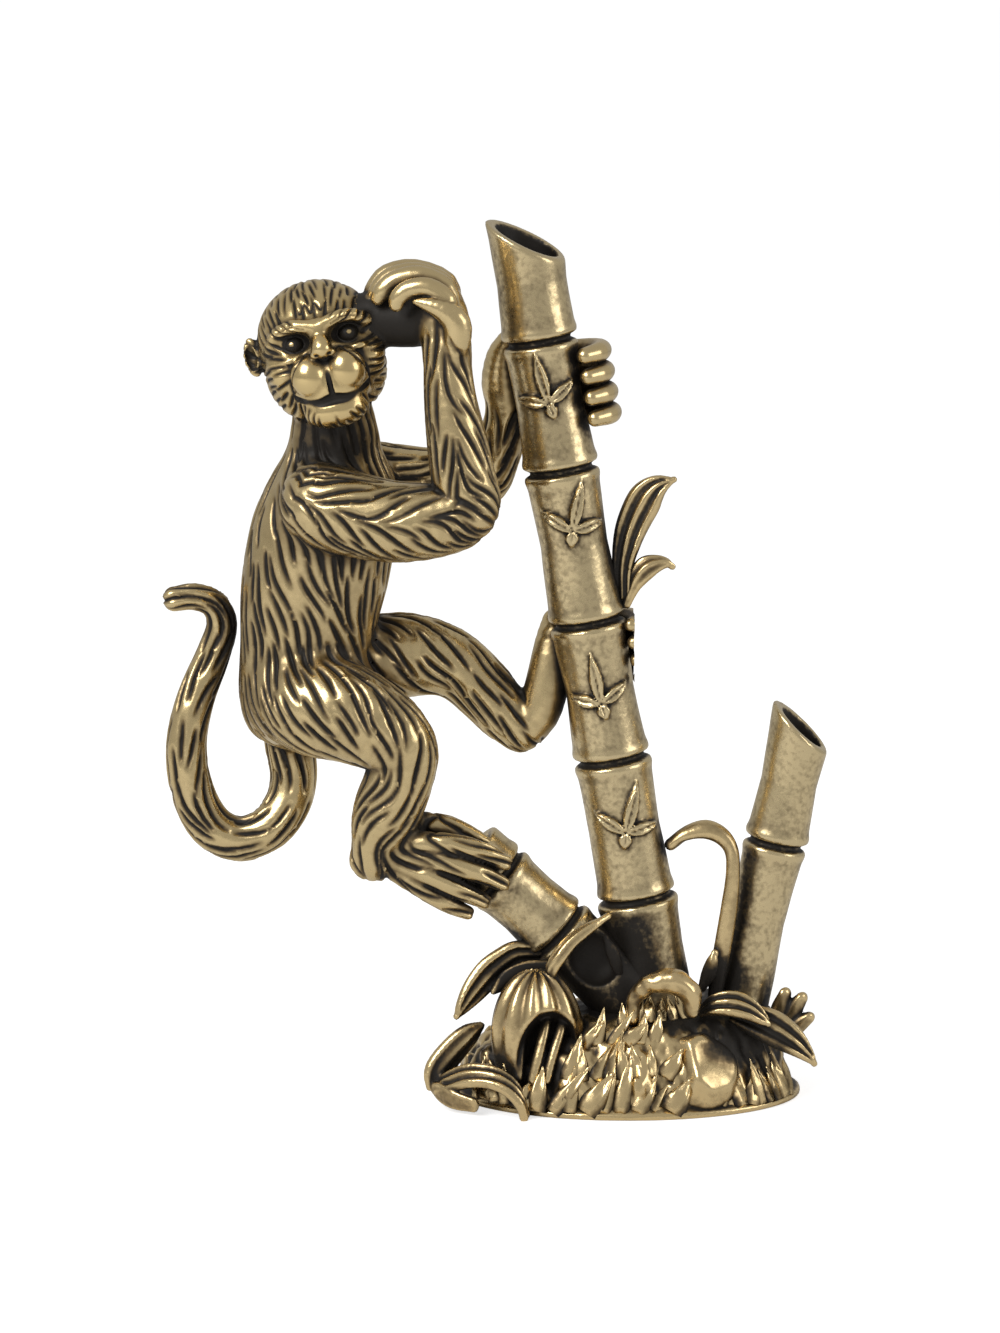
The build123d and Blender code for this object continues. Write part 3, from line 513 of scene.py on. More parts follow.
torso = {
    "rows": [
        (-14.2, 0.6, 25.4, 1.0, 1.0), (-14.1, 0.5, 26.6, 3.6, 3.0), (-13.93, 0.4, 29.23, 4.8, 4.1),
        (-13.75, 0.2, 33.65, 4.85, 4.3), (-13.14, 0, 38.06, 5.35, 4.7), (-12.39, 0, 42.45, 5.3, 5.0),
        (-11.87, -0.1, 45.36, 4.6, 4.3), (-11.7, -0.5, 47.6, 3.5, 3.3), (-11.65, -0.9, 49.5, 3.1, 3.0),
        (-11.8, -1.2, 51.6, 2.6, 2.6), (-12.0, -1.4, 53.0, 1.2, 1.2)],
}
limbs = {
    "nearArm": [
        (-12.9, -3.2, 44.6, 2.6), (-12.0, -4.8, 44.1, 3.05), (-7.6, -5.9, 43.2, 2.95),
        (-3.6, -6.4, 43.5, 2.6), (-2.0, -6.5, 44.5, 2.35), (-2.35, -6.5, 46.4, 2.3),
        (-2.8, -6.4, 49.0, 2.15), (-3.3, -6.2, 52.2, 1.85), (-3.5, -5.7, 55.4, 1.65)],
    "farArm": [
        (-9.2, 3.4, 45.2, 2.6), (-5.0, 4.6, 44.6, 2.5), (-1.6, 5.2, 44.7, 2.3), (-0.4, 4.9, 46.0, 2.0),
        (0.5, 4.3, 48.4, 1.7), (0.9, 3.7, 50.6, 1.55)],
    "nearLeg": [
        (-14.1, -2.2, 29.6, 3.4), (-12.8, -3.2, 29.4, 3.75), (-10.2, -4.1, 28.8, 3.5),
        (-7.6, -4.5, 27.4, 2.9), (-6.7, -4.5, 25.9, 2.55), (-7.1, -4.4, 24.0, 2.5), (-7.9, -4.2, 21.8, 2.5),
        (-8.5, -4.0, 19.8, 2.0), (-8.7, -3.9, 18.4, 1.75)],
    "farLeg": [
        (-10.2, 2.4, 31.4, 3.3), (-7.2, 3.0, 32.0, 3.2), (-4.4, 3.1, 31.8, 2.75), (-2.5, 2.9, 30.9, 2.45),
        (-0.8, 2.4, 29.4, 2.3), (0.7, 2.0, 27.8, 2.1), (1.9, 1.6, 26.9, 1.7)],
    "tail": [
        (-15.2, 2.0, 27.2, 2.0), (-15.1, 2.1, 25.2, 1.85), (-14.9, 2.0, 23.2, 1.75), (-15.3, 1.6, 21.3, 1.7),
        (-16.6, 1.1, 19.6, 1.7), (-18.8, 1.0, 18.7, 1.7), (-20.9, 1.0, 19.7, 1.68), (-22.25, 1.0, 22.3, 1.6),
        (-22.65, 1.0, 25.7, 1.5), (-22.0, 1.4, 29.0, 1.4), (-20.75, 1.9, 32.1, 1.28),
        (-20.05, 1.9, 34.5, 1.15), (-20.6, 1.6, 36.1, 1.08), (-22.0, 1.2, 36.65, 1.0),
        (-23.4, 1.0, 36.55, 0.95)],
}

# Hands and feet

stalkAxis = vec(-math.sin(math.radians(9.5)), 0, math.cos(math.radians(9.5)))
stalkFoot = vec(12.74, 0, 0)
stalkSide = vec(math.cos(math.radians(9.5)), 0, math.sin(math.radians(9.5)))


def roundStalk(height, turn, reach):
    # A place at a reach from the main stalk's axis; turn in degrees from the right side towards the back
    a = math.radians(turn)
    onAxis = stalkFoot + stalkAxis * (height / stalkAxis[2])
    return onAxis + stalkSide * reach * math.cos(a) + vec(0, 1, 0) * reach * math.sin(a)


def gripRows(height, grip):
    # Rows of a digit round the main stalk from turn, reach and radius
    return [(*roundStalk(height, turn, reach), radius) for turn, reach, radius in grip]


fingerGrip = [
    (125, 3.3, 0.85), (90, 3.5, 0.8), (50, 3.85, 0.78), (18, 4.0, 0.76), (-10, 3.75, 0.72), (-32, 3.15, 0.6)]
toeGrip = [
    (150, 3.2, 0.9), (110, 3.2, 0.8), (70, 3.35, 0.76), (35, 3.45, 0.74), (0, 3.3, 0.66), (-22, 3.0, 0.5)]


def nearFinger(i):
    # Rows of the fingers behind the first one, over the crown
    y, up, back = 1.35 * i, 0.1 * i, 0.3 * i
    return [(-3.2, -5.5 + y, 58.0, 0.8), (-3.6, -5.5 + y, 59.7 + up, 0.8),
            (-5.4 - 0.2 * i, -5.4 + y, 60.6 + up, 0.78), (-7.1 - back, -5.3 + y, 60.3 + up, 0.74),
            (-8.0 - back, -5.3 + y, 59.6, 0.68), (-8.4 - back, -5.2 + y, 59.0, 0.5)]


digits = {
    "nearHand": [
        [
            (-3.4, -6.9, 57.9, 0.75), (-3.55, -6.95, 59.1, 0.76), (-4.8, -6.9, 59.95, 0.72),
            (-6.1, -6.8, 59.85, 0.68), (-6.85, -6.7, 59.3, 0.64), (-7.05, -6.6, 58.75, 0.55)],
        *[nearFinger(i) for i in range(3)]],
    "nearThumb": [
        [
            (-3.2, -6.9, 54.6, 0.5), (-2.75, -7.1, 56.1, 0.9), (-2.8, -7.25, 57.5, 1.0),
            (-3.7, -7.4, 58.4, 0.8), (-4.9, -7.4, 58.85, 0.5), (-5.7, -7.3, 59.0, 0.22)]],
    "farHand": [gripRows(49.6 + 1.5 * i, fingerGrip) for i in range(4)],
    "nearToes": [
        [
            (-7.4, -4.3, 19.4, 1.0), (-3.85, -4.9, 19.6, 0.82), (-1.2, -4.9, 19.1, 0.76),
            (0.6, -4.4, 18.1, 0.6)],
        [
            (-7.4, -4.3, 18.9, 1.0), (-3.95, -5.0, 18.3, 0.82), (-1.4, -4.9, 17.5, 0.76),
            (0.45, -4.3, 16.5, 0.6)],
        [
            (-7.5, -4.2, 18.4, 1.0), (-4.35, -4.9, 17.1, 0.82), (-2.5, -4.8, 16.1, 0.74),
            (-0.9, -4.2, 15.2, 0.58)],
        [
            (-7.6, -4.0, 17.9, 1.0), (-5.8, -4.5, 16.5, 0.8), (-3.8, -4.5, 15.2, 0.72),
            (-2.1, -4.0, 14.3, 0.52)]],
    "nearBigToe": [
        [
            (-8.0, -3.2, 19.4, 1.3), (-5.8, -2.9, 20.4, 1.1), (-3.6, -2.7, 20.3, 0.95),
            (-1.6, -2.6, 19.4, 0.85), (-0.3, -2.6, 18.5, 0.6)]],
    "farToes": [gripRows(30.6 + 1.3 * i, toeGrip) for i in range(4)],
}
palms = {
    "nearHand": [
        (-3.5, -5.7, 55.2, 1.65), (-3.7, -5.1, 57.2, 1.85), (-4.3, -4.3, 58.9, 1.7), (-5.6, -3.6, 59.7, 1.5),
        (-7.4, -3.3, 59.4, 1.3)],
    "nearWeb": [(-4.2, -4.6, 57.6, 1.8), (-6.0, -3.7, 57.3, 1.9), (-8.6, -3.0, 57.4, 2.0)],
    "farHand": [(0.9, 3.7, 50.4, 1.55), (0.6, 3.2, 52.0, 1.7), (0.6, 2.6, 53.8, 1.4), (0.9, 2.0, 55.0, 1.0)],
    "nearFoot": [
        (-9.3, -3.8, 18.1, 1.35), (-8.2, -3.8, 18.6, 1.8), (-5.6, -3.3, 18.3, 1.9), (-2.8, -2.6, 17.2, 1.9),
        (-1.4, -2.2, 16.6, 1.5)],
    "farFoot": [
        (1.7, 1.6, 26.6, 1.5), (3.0, 1.4, 28.0, 1.6), (3.7, 1.5, 30.2, 1.6), (4.2, 1.8, 33.0, 1.45),
        (4.3, 2.4, 34.6, 1.0)],
}

# Head
# Face places are right, out, up from the middle of the head, in its own rolled frame

roll = math.radians(13)
headPlace = frameAt((-12.45, -2.5, 54.7), (math.cos(roll), 0, math.sin(roll)), (0, -1, 0),
                    (-math.sin(roll), 0, math.cos(roll)))
facePlace = (worldOf((0.35, 0, -0.45), headPlace), headPlace[1])  # the features sit off the skull's middle
face = {
    "skull": ((0, -0.5, 1.35), (4.35, 4.2, 4.05)), "jaw": ((0.1, 0.2, -1.35), (4.3, 3.3, 3.6)),
    "muzzle": ((0, 2.5, -1.35), (2.8, 2.3, 2.5)), "chin": ((0, 2.95, -3.2), (2.35, 1.7, 1.35)),
    "cheek": ((3.0, 1.9, 0.1), (1.2, 1.3, 1.5)), "pouch": ((2.4, 3.0, 0.85), (0.8, 0.55, 0.36)),
    "lobe": ((1.27, 3.55, -0.5), (1.42, 1.5, 1.6)), "socket": ((1.85, 4.0, 1.95), (1.2, 1.35, 0.82)),
    # round each eye the shade is painted dark, with a painted highlight on the eye
    "eye": ((1.95, 2.65, 1.85), (0.72, 0.72, 0.66)), "shade": ((1.8, 3.3, 1.95), (1.0, 1.4, 0.66)),
    "paintedGlint": ((2.1, 3.35, 2.0), (0.14, 0.3, 0.1)), "nostril": ((0.52, 5.2, 0.92), (0.27, 0.6, 0.17)),
    "ear": ((4.8, -0.4, 0.9), (0.75, 0.5, 1.45)), "earHollow": ((5.0, 0.1, 0.9), (0.42, 0.5, 0.95)),
}
brow = [
    (-3.6, 1.8, 2.0, 0.4), (-3.0, 2.75, 2.85, 0.48), (-1.9, 3.4, 3.2, 0.52), (-0.6, 3.65, 2.95, 0.5),
    (0, 3.7, 2.8, 0.5), (0.6, 3.65, 2.95, 0.5), (1.9, 3.4, 3.2, 0.52), (3.0, 2.75, 2.85, 0.48),
    (3.6, 1.8, 2.0, 0.4)]
nose = [(0, 3.3, 2.8, 0.62), (0, 3.75, 2.1, 0.6), (0, 4.25, 1.6, 0.7), (0, 4.45, 1.35, 0.72)]
wing = [(0.35, 4.45, 1.2, 0.36), (0.6, 4.35, 1.0, 0.32)]
mouth = [(-2.6, 3.1, -1.85, 0.24), (-2.0, 4.2, -2.25, 0.26), (-1.0, 4.6, -2.42, 0.32), (0, 4.7, -2.3, 0.42),
         (1.0, 4.6, -2.42, 0.32), (2.0, 4.2, -2.25, 0.26), (2.6, 3.1, -1.8, 0.24)]
philtrum = [(0, 4.7, 0.8, 0.12), (0, 4.75, -0.6, 0.17), (0, 4.6, -2.1, 0.2)]


def mirrored(name, hand):
    middle, radii = face[name]
    return (middle[0] * hand, middle[1], middle[2]), radii


def headField(p):
    q = localOf(p, headPlace)
    d = smoothMin(ellipsoid(q, *face["skull"]), ellipsoid(q, *face["jaw"]), 1.4)
    for hand in (-1, 1):
        hollow = ellipsoid(q, *mirrored("earHollow", hand))
        ear = smoothMax(ellipsoid(q, *mirrored("ear", hand)), -hollow, 0.1)
        d = smoothMin(d, ear, 0.2)
    q = localOf(p, facePlace)
    for hand in (-1, 1):
        d = smoothMin(d, ellipsoid(q, *mirrored("cheek", hand)), 0.7)
    d = smoothMin(d, tube(q, brow, 3), 0.45)
    d = smoothMin(d, ellipsoid(q, *face["muzzle"]), 0.6)
    for hand in (-1, 1):
        d = smoothMin(d, ellipsoid(q, *mirrored("pouch", hand)), 0.3)
        d = smoothMax(d, -ellipsoid(q, *mirrored("socket", hand)), 0.3)
        d = smoothMin(d, ellipsoid(q, *mirrored("eye", hand)), 0.08)
    d = smoothMin(d, tube(q, nose, 3), 0.4)
    lobes = np.minimum(ellipsoid(q, *mirrored("lobe", -1)), ellipsoid(q, *mirrored("lobe", 1)))
    d = smoothMin(d, lobes, 0.12)
    d = smoothMin(d, ellipsoid(q, *face["chin"]), 0.35)
    for hand in (-1, 1):
        d = smoothMin(d, tube(q * vec(hand, 1, 1), wing, 2), 0.15)
        d = smoothMax(d, -ellipsoid(q, *mirrored("nostril", hand)), 0.08)
    d = smoothMax(d, -tube(q, mouth, 3), 0.1)
    return smoothMax(d, -tube(q, philtrum, 2), 0.1)


def faceShade(p):
    # 1 where the face is painted dark, for patina and the shade in its hollows: eyes, nostrils, mouth line
    # and the groove under the nose; a painted highlight on each eye goes below 0
    q = localOf(p, facePlace)
    gaps = [ellipsoid(q, *mirrored(name, hand)) for name in ("shade", "nostril") for hand in (-1, 1)]
    gaps += [tube(q, mouth, 3) - 0.06, tube(q, philtrum, 2) - 0.05]
    paintedGlint = np.minimum(*(ellipsoid(q, *mirrored("paintedGlint", hand)) for hand in (-1, 1)))
    return np.clip(0.3 - np.minimum.reduce(gaps) / 0.16, 0, 1) - 2.2 * np.clip(0.5 - paintedGlint / 0.08, 0, 1)


# Places where shade is painted dark: middle and radii
shadePatches = [
    ((8.3, -3.2, 9.6), (3.4, 3.2, 3.0)), ((-11.7, -3.2, 48.5), (2.7, 1.6, 1.5)),
    ((10.4, -1.5, 12.4), (1.3, 2.5, 2.2)), ((16.0, -1.5, 8.8), (2.2, 2.0, 1.6)),
    ((1.9, -3.2, 9.4), (2.0, 1.3, 0.9)), ((8.2, -0.2, 40.3), (0.5, 1.2, 2.4)),
    ((12.3, -5.4, 7.0), (1.9, 1.6, 1.4)), ((18.0, -5.5, 4.8), (3.4, 2.0, 1.2))]


def shadePatchAt(p):
    return np.clip(0.6 - np.minimum.reduce([ellipsoid(p, *patch) for patch in shadePatches]) / 1.2, 0, 1)


# The whole monkey as one field

def digitField(p, *names):
    return np.minimum.reduce([tube(p, rows, 3) for name in names for rows in digits[name]])


def monkeyParts(p):
    parts = {"torso": section(p, torso["rows"])}
    for name, rows in limbs.items():
        parts[name] = tube(p, rows, 4)
    parts["nearHand"] = smoothMin(smoothMin(tube(p, palms["nearHand"], 3), tube(p, palms["nearWeb"], 3), 0.5),
                                  digitField(p, "nearHand", "nearThumb"), 0.1)
    parts["farHand"] = smoothMin(tube(p, palms["farHand"], 3), digitField(p, "farHand"), 0.12)
    parts["nearFoot"] = smoothMin(tube(p, palms["nearFoot"], 3, (vec(0, 1, 0), 0.75)),
                                  digitField(p, "nearToes", "nearBigToe"), 0.15)
    parts["farFoot"] = smoothMin(tube(p, palms["farFoot"], 3), digitField(p, "farToes"), 0.12)
    parts["head"] = headField(p)
    return parts


blends = {
    "nearArm": 0.9, "farArm": 0.9, "nearLeg": 1.0, "farLeg": 0.9, "tail": 0.6, "nearHand": 0.4,
    "farHand": 0.4, "nearFoot": 0.5, "farFoot": 0.4, "head": 0.5,
}


def monkeyField(p):
    parts = monkeyParts(p)
    d = parts["torso"]
    for name, k in blends.items():
        d = smoothMin(d, parts[name], k)
    return d


monkeyShape = Shape(monkeyField, (-25.5, -9.5, 11.5), (9.5, 8.5, 63.5), 0.125)
headShape = Shape(monkeyField, (-18.6, -9.4, 48.9), (-7.6, 3.2, 61.2), 0.085)
pieceShapes.append(monkeyShape)
print("monkey sampled", monkeyShape.values.shape, headShape.values.shape)


# Bamboo

ring = {"groove": 0.26, "off": 0.62, "lip": 0.38}  # a joint's groove between two lips: half widths and offset
def stalkField(p, stalk):
    axis = vec(*stalk["axis"])
    bend = np.interp(p[..., 2], stalk["bendHeights"], stalk["bend"])[..., None].astype(np.float32)
    p = p - vec(1, 0, 0) * bend
    q = p - vec(*stalk["foot"])
    h = q @ axis
    r = np.linalg.norm(q - h[..., None] * axis, axis=-1)
    radius = np.interp(h, stalk["heights"], stalk["radii"])
    for joint in stalk["joints"]:
        off = h - joint
        radius = radius - stalk["groove"] * np.exp(-(off / ring["groove"]) ** 4)
        lips = sum(np.exp(-((off + way * ring["off"]) / ring["lip"]) ** 2) for way in (-1, 1))
        radius = radius + stalk["lip"] * lips
    radius = radius + stalk["dent"] * wobble(p, 0.7)
    if "sprays" in stalk:
        away = q - h[..., None] * axis
        around = 2.6 * np.arctan2(away @ stalkSide, -away[..., 1])
        radius = radius + sprayRelief(around, h, stalk["sprays"])
    d = (r - radius) * 0.95
    cut = (p - vec(*stalk["tip"])) @ vec(*stalk["cutNormal"])
    d = smoothMax(d, cut, 0.25)
    hollow = np.maximum(r - stalk["bore"], stalk["floor"] - h)
    d = smoothMax(d, -hollow, 0.2)
    return smoothMax(d, stalk["start"] - p[..., 2], 0.1)


def sprayRelief(around, height, sprays):
    # Raised leaf sprays: leaves fan out from a root, each with a groove along its middle
    out = np.zeros_like(around)
    for at, lean in sprays["places"]:
        for turn, length in sprays["leaves"]:
            a = math.radians(turn + lean)
            x, y = around - 0.25 * math.sin(math.radians(lean)), height - at
            u, v = x * math.sin(a) + y * math.cos(a), x * math.cos(a) - y * math.sin(a)
            share = np.clip(u / length, 0, 1)
            edge = sprays["wide"] * np.sin(math.pi * share ** 0.75) - np.abs(v)
            leaf = np.clip(edge / 0.1, 0, 1) * (1 - 0.4 * np.exp(-(v / 0.09) ** 2))
            out = np.maximum(out, leaf)
    return out * sprays["raised"]


waveDirections = rng.normal(size=(9, 3)).astype(np.float32)
wavePhases = rng.uniform(0, 6.28, 9)


def wobble(p, scale):
    # Smooth random relief, about -1 to 1
    total = 0
    for direction, phase in zip(waveDirections, wavePhases):
        turn = np.sin(p @ direction[::-1].copy() * scale * 0.7)
        total = total + np.sin(p @ direction * scale + phase + turn)
    return total / 4.5


def unit(*values):
    v = np.array(values, dtype=float)
    return v / np.linalg.norm(v)


def jointsAt(axis, foot, *heights):
    return [(z - foot[2]) / axis[2] for z in heights]


mainStalk = {
    "axis": stalkAxis, "foot": stalkFoot, "bendHeights": [8, 15, 35.5, 55.3, 62.7],
    "bend": [0, -0.04, -0.3, -0.4, -0.1], "groove": 0.42, "lip": 0.1, "dent": 0.05, "bore": 2.0,
    "start": 6.6, "tip": (-1.3, 0.0, 64.3), "cutNormal": unit(0.4, -0.16, 0.9),
}
mainStalk["joints"] = jointsAt(stalkAxis, stalkFoot, 14.7, 25.0, 35.1, 46.2, 55.5)
mainStalk["heights"] = [
    6, 11, 14.7, 15.6, 20, 24.6, 25.6, 30.5, 35.2, 36.2, 41.3, 46.4, 47.4, 51.5, 56.0, 57.0, 60.5, 66.5]
mainStalk["radii"] = [
    2.95, 2.75, 2.9, 2.75, 2.62, 2.78, 2.75, 2.5, 2.72, 2.7, 2.42, 2.65, 2.65, 2.4, 2.62, 2.62, 2.5, 2.85]
mainStalk["floor"] = 61.4
mainStalk["sprays"] = {
    "places": [(z / stalkAxis[2], lean) for z, lean in ((19.9, 14), (29.4, -10), (42.0, 12), (51.2, -14))],
    "leaves": [(-62, 2.9), (8, 4.0), (72, 2.9), (180, 1.3)], "wide": 0.5, "raised": 0.42,
}

smallAxis = unit(4.15, 0, 19.12)
smallFoot = vec(18.07 - 7.7 * 0.217, 1.0, 0)  # the axis passes 18.07 at a height of 7.7
smallStalk = {
    "axis": smallAxis, "foot": smallFoot, "bendHeights": [0, 30], "bend": [0, 0], "groove": 0.4, "lip": 0.1,
    "dent": 0.05, "bore": 1.6, "start": 5.5, "tip": (19.93, 1.0, 29.27),
    "cutNormal": unit(0.68, -0.12, 0.73), "floor": 25.5,
}
smallStalk["joints"] = jointsAt(smallAxis, smallFoot, 18.5)
smallStalk["heights"] = [5, 8, 13, 18.2, 19.6, 23.5, 30]
smallStalk["radii"] = [2.35, 2.2, 1.98, 2.25, 2.3, 2.05, 2.5]

logAxis = unit(-10.4, -0.5, 9.8)
logFoot = vec(8.5, -0.8, 8.5)
log = {
    "axis": logAxis, "foot": logFoot, "bendHeights": [0, 30], "bend": [0, 0], "groove": 0.38, "lip": 0.12,
    "dent": 0.06, "bore": 1.7, "start": 5.0, "tip": (-1.9, -1.3, 18.2), "cutNormal": logAxis, "floor": 13.4,
    "joints": [5.6, 11.6], "heights": [0, 3, 5.5, 8.5, 11.6, 14.5],
    "radii": [2.7, 2.6, 2.65, 2.45, 2.6, 2.5],
}


def logField(p):
    return smoothMax(stalkField(p, log), -ellipsoid(p, (7.2, -3.3, 10.8), (1.9, 1.5, 2.1)), 0.3)


mainShape = Shape(lambda p: stalkField(p, mainStalk), (-2.6, -3.6, 6.0), (15.2, 3.8, 65.4), 0.13)
smallShape = Shape(lambda p: stalkField(p, smallStalk), (14.8, -2.2, 5.0), (25.8, 4.2, 30.4), 0.14)
logShape = Shape(logField, (-4.8, -5.2, 4.6), (10.2, 2.6, 21.2), 0.14)
pieceShapes += [mainShape, smallShape, logShape]
print("bamboo sampled")


# Ground

ground = {
    "rows": [
        (9.5, -0.1, -0.3, 12.85, 8.75), (9.5, -0.1, 0.45, 12.8, 8.7), (9.5, -0.1, 0.8, 12.3, 8.25),
        (9.6, -0.1, 2.3, 11.9, 7.9), (10.2, -0.1, 4.1, 10.9, 7.0), (11.3, -0.1, 5.6, 9.0, 5.8),
        (12.6, 0, 6.5, 6.9, 4.5), (13.8, 0, 7.1, 3.6, 2.4)],
}


def groundField(p):
    d = section(p, ground["rows"])
    ridge = np.clip((p[..., 2] - 0.9) / 1.2, 0, 1)
    bumps = (0.3 * wobble(p * vec(1.5, 1.5, 0.5), 1.1) + 0.22 * wobble(p[..., ::-1] * vec(0.5, 1.6, 1.6), 1.8)
             + 0.12 * wobble(p * vec(1.3, 1, 0.8), 3.6))
    return smoothMax(d - ridge * bumps, -p[..., 2], 0.15)


groundShape = Shape(groundField, (-5.5, -10.2, -0.6), (24.5, 10.2, 9.6), 0.17)
pieceShapes.append(groundShape)
print("ground sampled")

# Leaves, shoot, rock and twig. Rows are x, y, z, half width along the midrib; side points across the blade.

def bladeField(p, blade):
    # A leaf plate with rounded edges, curled across and ribbed along
    rows = refine(blade["rows"], 5)
    side, thick = unit(*blade["side"]), blade.get("thick", 0.24)
    best = np.full(p.shape[:-1], 1e3, dtype=np.float32)
    for a, b in zip(rows, rows[1:]):
        length = float(np.linalg.norm(b[:3] - a[:3]))
        along = (b[:3] - a[:3]) / length
        over = side - along * (side @ along)
        over = over / np.linalg.norm(over)
        up = np.cross(along, over)
        q = p - a[:3]
        t = q @ along
        c = np.clip(t, 0, length)
        wide = a[3] + (b[3] - a[3]) * c / length
        u = q @ over
        s = np.clip(u / np.maximum(wide, 0.05), -1.2, 1.2)
        v = q @ up - blade.get("curl", 0.2) * wide * s * s
        edge = np.maximum(np.abs(u) - np.maximum(wide - thick, 0), 0)
        rib = blade.get("rib", 0.1) * np.cos(math.pi * s * blade.get("ribs", 3)) * np.minimum(wide, 1)
        best = np.minimum(best, np.sqrt(edge * edge + v * v + (t - c) ** 2) - thick - rib)
    return best * 0.8


def bladesField(p, blades):
    return np.minimum.reduce([bladeField(p, blade) for blade in blades])


sheath = {
    "node": "sheath_leaf", "low": (-3.8, -5.8, 5.6), "high": (5.2, -0.6, 12.8),
    "blades": [{
        "rows": [
            (3.2, -2.3, 10.9, 0.8), (1.6, -2.6, 10.9, 1.1), (0.6, -2.8, 10.4, 1.2), (-0.5, -3.1, 9.5, 1.3),
            (-1.6, -3.5, 8.3, 1.1), (-2.4, -3.9, 7.3, 0.65), (-2.9, -4.2, 6.6, 0.15)],
        "side": (-0.6, -0.35, 0.7), "ribs": 3,
    }, {
        "rows": [
            (4.2, -3.1, 9.9, 0.7), (2.4, -3.1, 9.7, 0.95), (0.9, -3.2, 9.1, 0.9), (-0.2, -3.4, 8.3, 0.3)],
        "side": (-0.4, -0.3, 0.85), "ribs": 1,
    }],
}
shoot = {
    "node": "bamboo_shoot", "low": (-1.4, -8.9, 0.6), "high": (7.2, -1.2, 11.4),
    "hood": ((2.9, -4.7, 5.3), (3.3, 3.0, 4.9)), "opening": ((3.95, -7.6, 3.9), (2.45, 3.3, 3.8)),
    "blades": [{
        "rows": [
            (3.7, -4.9, 7.3, 0.35), (3.5, -5.9, 6.2, 0.42), (3.1, -6.7, 4.6, 0.42), (2.6, -7.2, 2.6, 0.4)],
        "side": (1, -0.3, 0.3), "ribs": 1, "thick": 0.3,
    }, {
        "rows": [
            (4.9, -5.0, 7.0, 0.35), (4.6, -5.9, 5.9, 0.4), (4.1, -6.6, 4.4, 0.4), (3.6, -7.1, 2.6, 0.4)],
        "side": (1, -0.3, 0.3), "ribs": 1, "thick": 0.3,
    }, {
        "rows": [(1.9, -5.6, 5.6, 0.3), (1.7, -6.4, 4.2, 0.36), (1.6, -6.9, 2.8, 0.36)],
        "side": (1, -0.3, 0.3), "ribs": 1, "thick": 0.28,
    }],
}
archedLeaf = {
    "node": "arched_leaf", "low": (2.8, -6.6, 8.2), "high": (10.2, -1.6, 15.0),
    "blades": [{
        "rows": [
            (3.7, -4.9, 9.2, 0.35), (4.0, -5.2, 10.5, 0.5), (4.6, -5.2, 11.5, 0.55), (5.4, -4.9, 12.4, 0.5),
            (6.4, -4.5, 13.1, 0.45), (7.4, -4.0, 13.6, 0.3), (8.1, -3.4, 13.9, 0.1)],
        "side": (0.55, -0.5, -0.6), "ribs": 2, "thick": 0.28,
    }, {
        "rows": [
            (7.9, -3.1, 12.3, 0.15), (8.3, -3.3, 11.4, 0.5), (8.7, -3.2, 10.3, 0.5), (9.0, -2.9, 9.2, 0.3)],
        "side": (0.8, -0.2, 0.5), "ribs": 1, "thick": 0.26,
    }],
}
curled = {
    "node": "curled_leaf", "low": (-5.7, -9.4, -0.4), "high": (3.4, -2.4, 7.0),
    "blades": [{
        "rows": [
            (2.1, -8.1, 0.3, 0.9), (1.7, -8.2, 1.6, 1.0), (0.8, -8.0, 2.6, 1.05), (-0.5, -7.6, 3.1, 1.1),
            (-2.1, -6.9, 3.0, 1.15), (-3.5, -6.1, 2.3, 1.05), (-4.3, -5.5, 1.7, 0.7)],
        "side": (0.1, -0.85, -0.55), "ribs": 3, "curl": -0.25,
    }, {
        "rows": [
            (-4.3, -5.2, 1.5, 0.7), (-4.1, -5.0, 2.7, 1.0), (-3.0, -4.6, 4.1, 1.0), (-1.9, -4.2, 5.2, 0.8),
            (-1.1, -3.7, 5.8, 0.3)],
        "side": (0.65, 0.35, -0.65), "ribs": 2, "curl": 0.35,
    }, {
        "rows": [
            (-4.4, -5.4, 1.6, 0.6), (-3.9, -5.9, 1.4, 0.9), (-3.0, -6.7, 1.1, 0.9), (-1.6, -7.4, 0.9, 0.7)],
        "side": (0.2, -0.5, 0.8), "ribs": 1, "thick": 0.3,
    }],
}
ribbed = {
    "node": "ribbed_leaf", "low": (13.9, -7.2, 5.2), "high": (20.6, -2.8, 9.6),
    "blades": [{
        "rows": [
            (14.9, -4.3, 7.0, 0.5), (15.8, -4.9, 7.7, 0.95), (17.1, -5.2, 7.9, 1.15), (18.3, -5.3, 7.5, 1.0),
            (19.2, -5.3, 6.8, 0.6), (19.7, -5.3, 6.3, 0.15)],
        "side": (0, -0.65, -0.75), "ribs": 3, "rib": 0.14,
    }],
}
floorLeaf = {
    "node": "floor_leaf", "low": (16.4, -7.2, 2.4), "high": (24.2, -2.6, 8.4),
    "blades": [{
        "rows": [
            (17.3, -3.9, 6.6, 0.7), (18.6, -4.5, 6.5, 1.25), (20.1, -5.0, 6.0, 1.45), (21.5, -5.2, 5.1, 1.2),
            (22.5, -5.1, 4.1, 0.65), (23.1, -5.0, 3.3, 0.15)],
        "side": (-0.35, -0.45, -0.8), "ribs": 3, "rib": 0.15,
    }],
}
tuft = {
    "node": "tuft", "low": (18.8, -3.2, 3.4), "high": (24.2, 1.4, 9.2),
    "blades": [{
        "rows": [(20.2, -0.7, 4.6, 0.7), (20.7, -0.9, 6.3, 0.8), (21.1, -1.0, 7.5, 0.5)],
        "side": (0.6, -0.5, 0.3), "thick": 0.5, "ribs": 1,
    }, {
        "rows": [(20.6, -0.8, 4.4, 0.7), (21.6, -1.0, 6.2, 0.8), (22.3, -1.1, 7.2, 0.5)],
        "side": (0.6, -0.5, -0.3), "thick": 0.5, "ribs": 1,
    }, {
        "rows": [(20.8, -1.0, 4.0, 0.7), (21.9, -1.2, 5.2, 0.8), (22.8, -1.3, 5.8, 0.5)],
        "side": (0.3, -0.5, -0.7), "thick": 0.5, "ribs": 1,
    }],
}
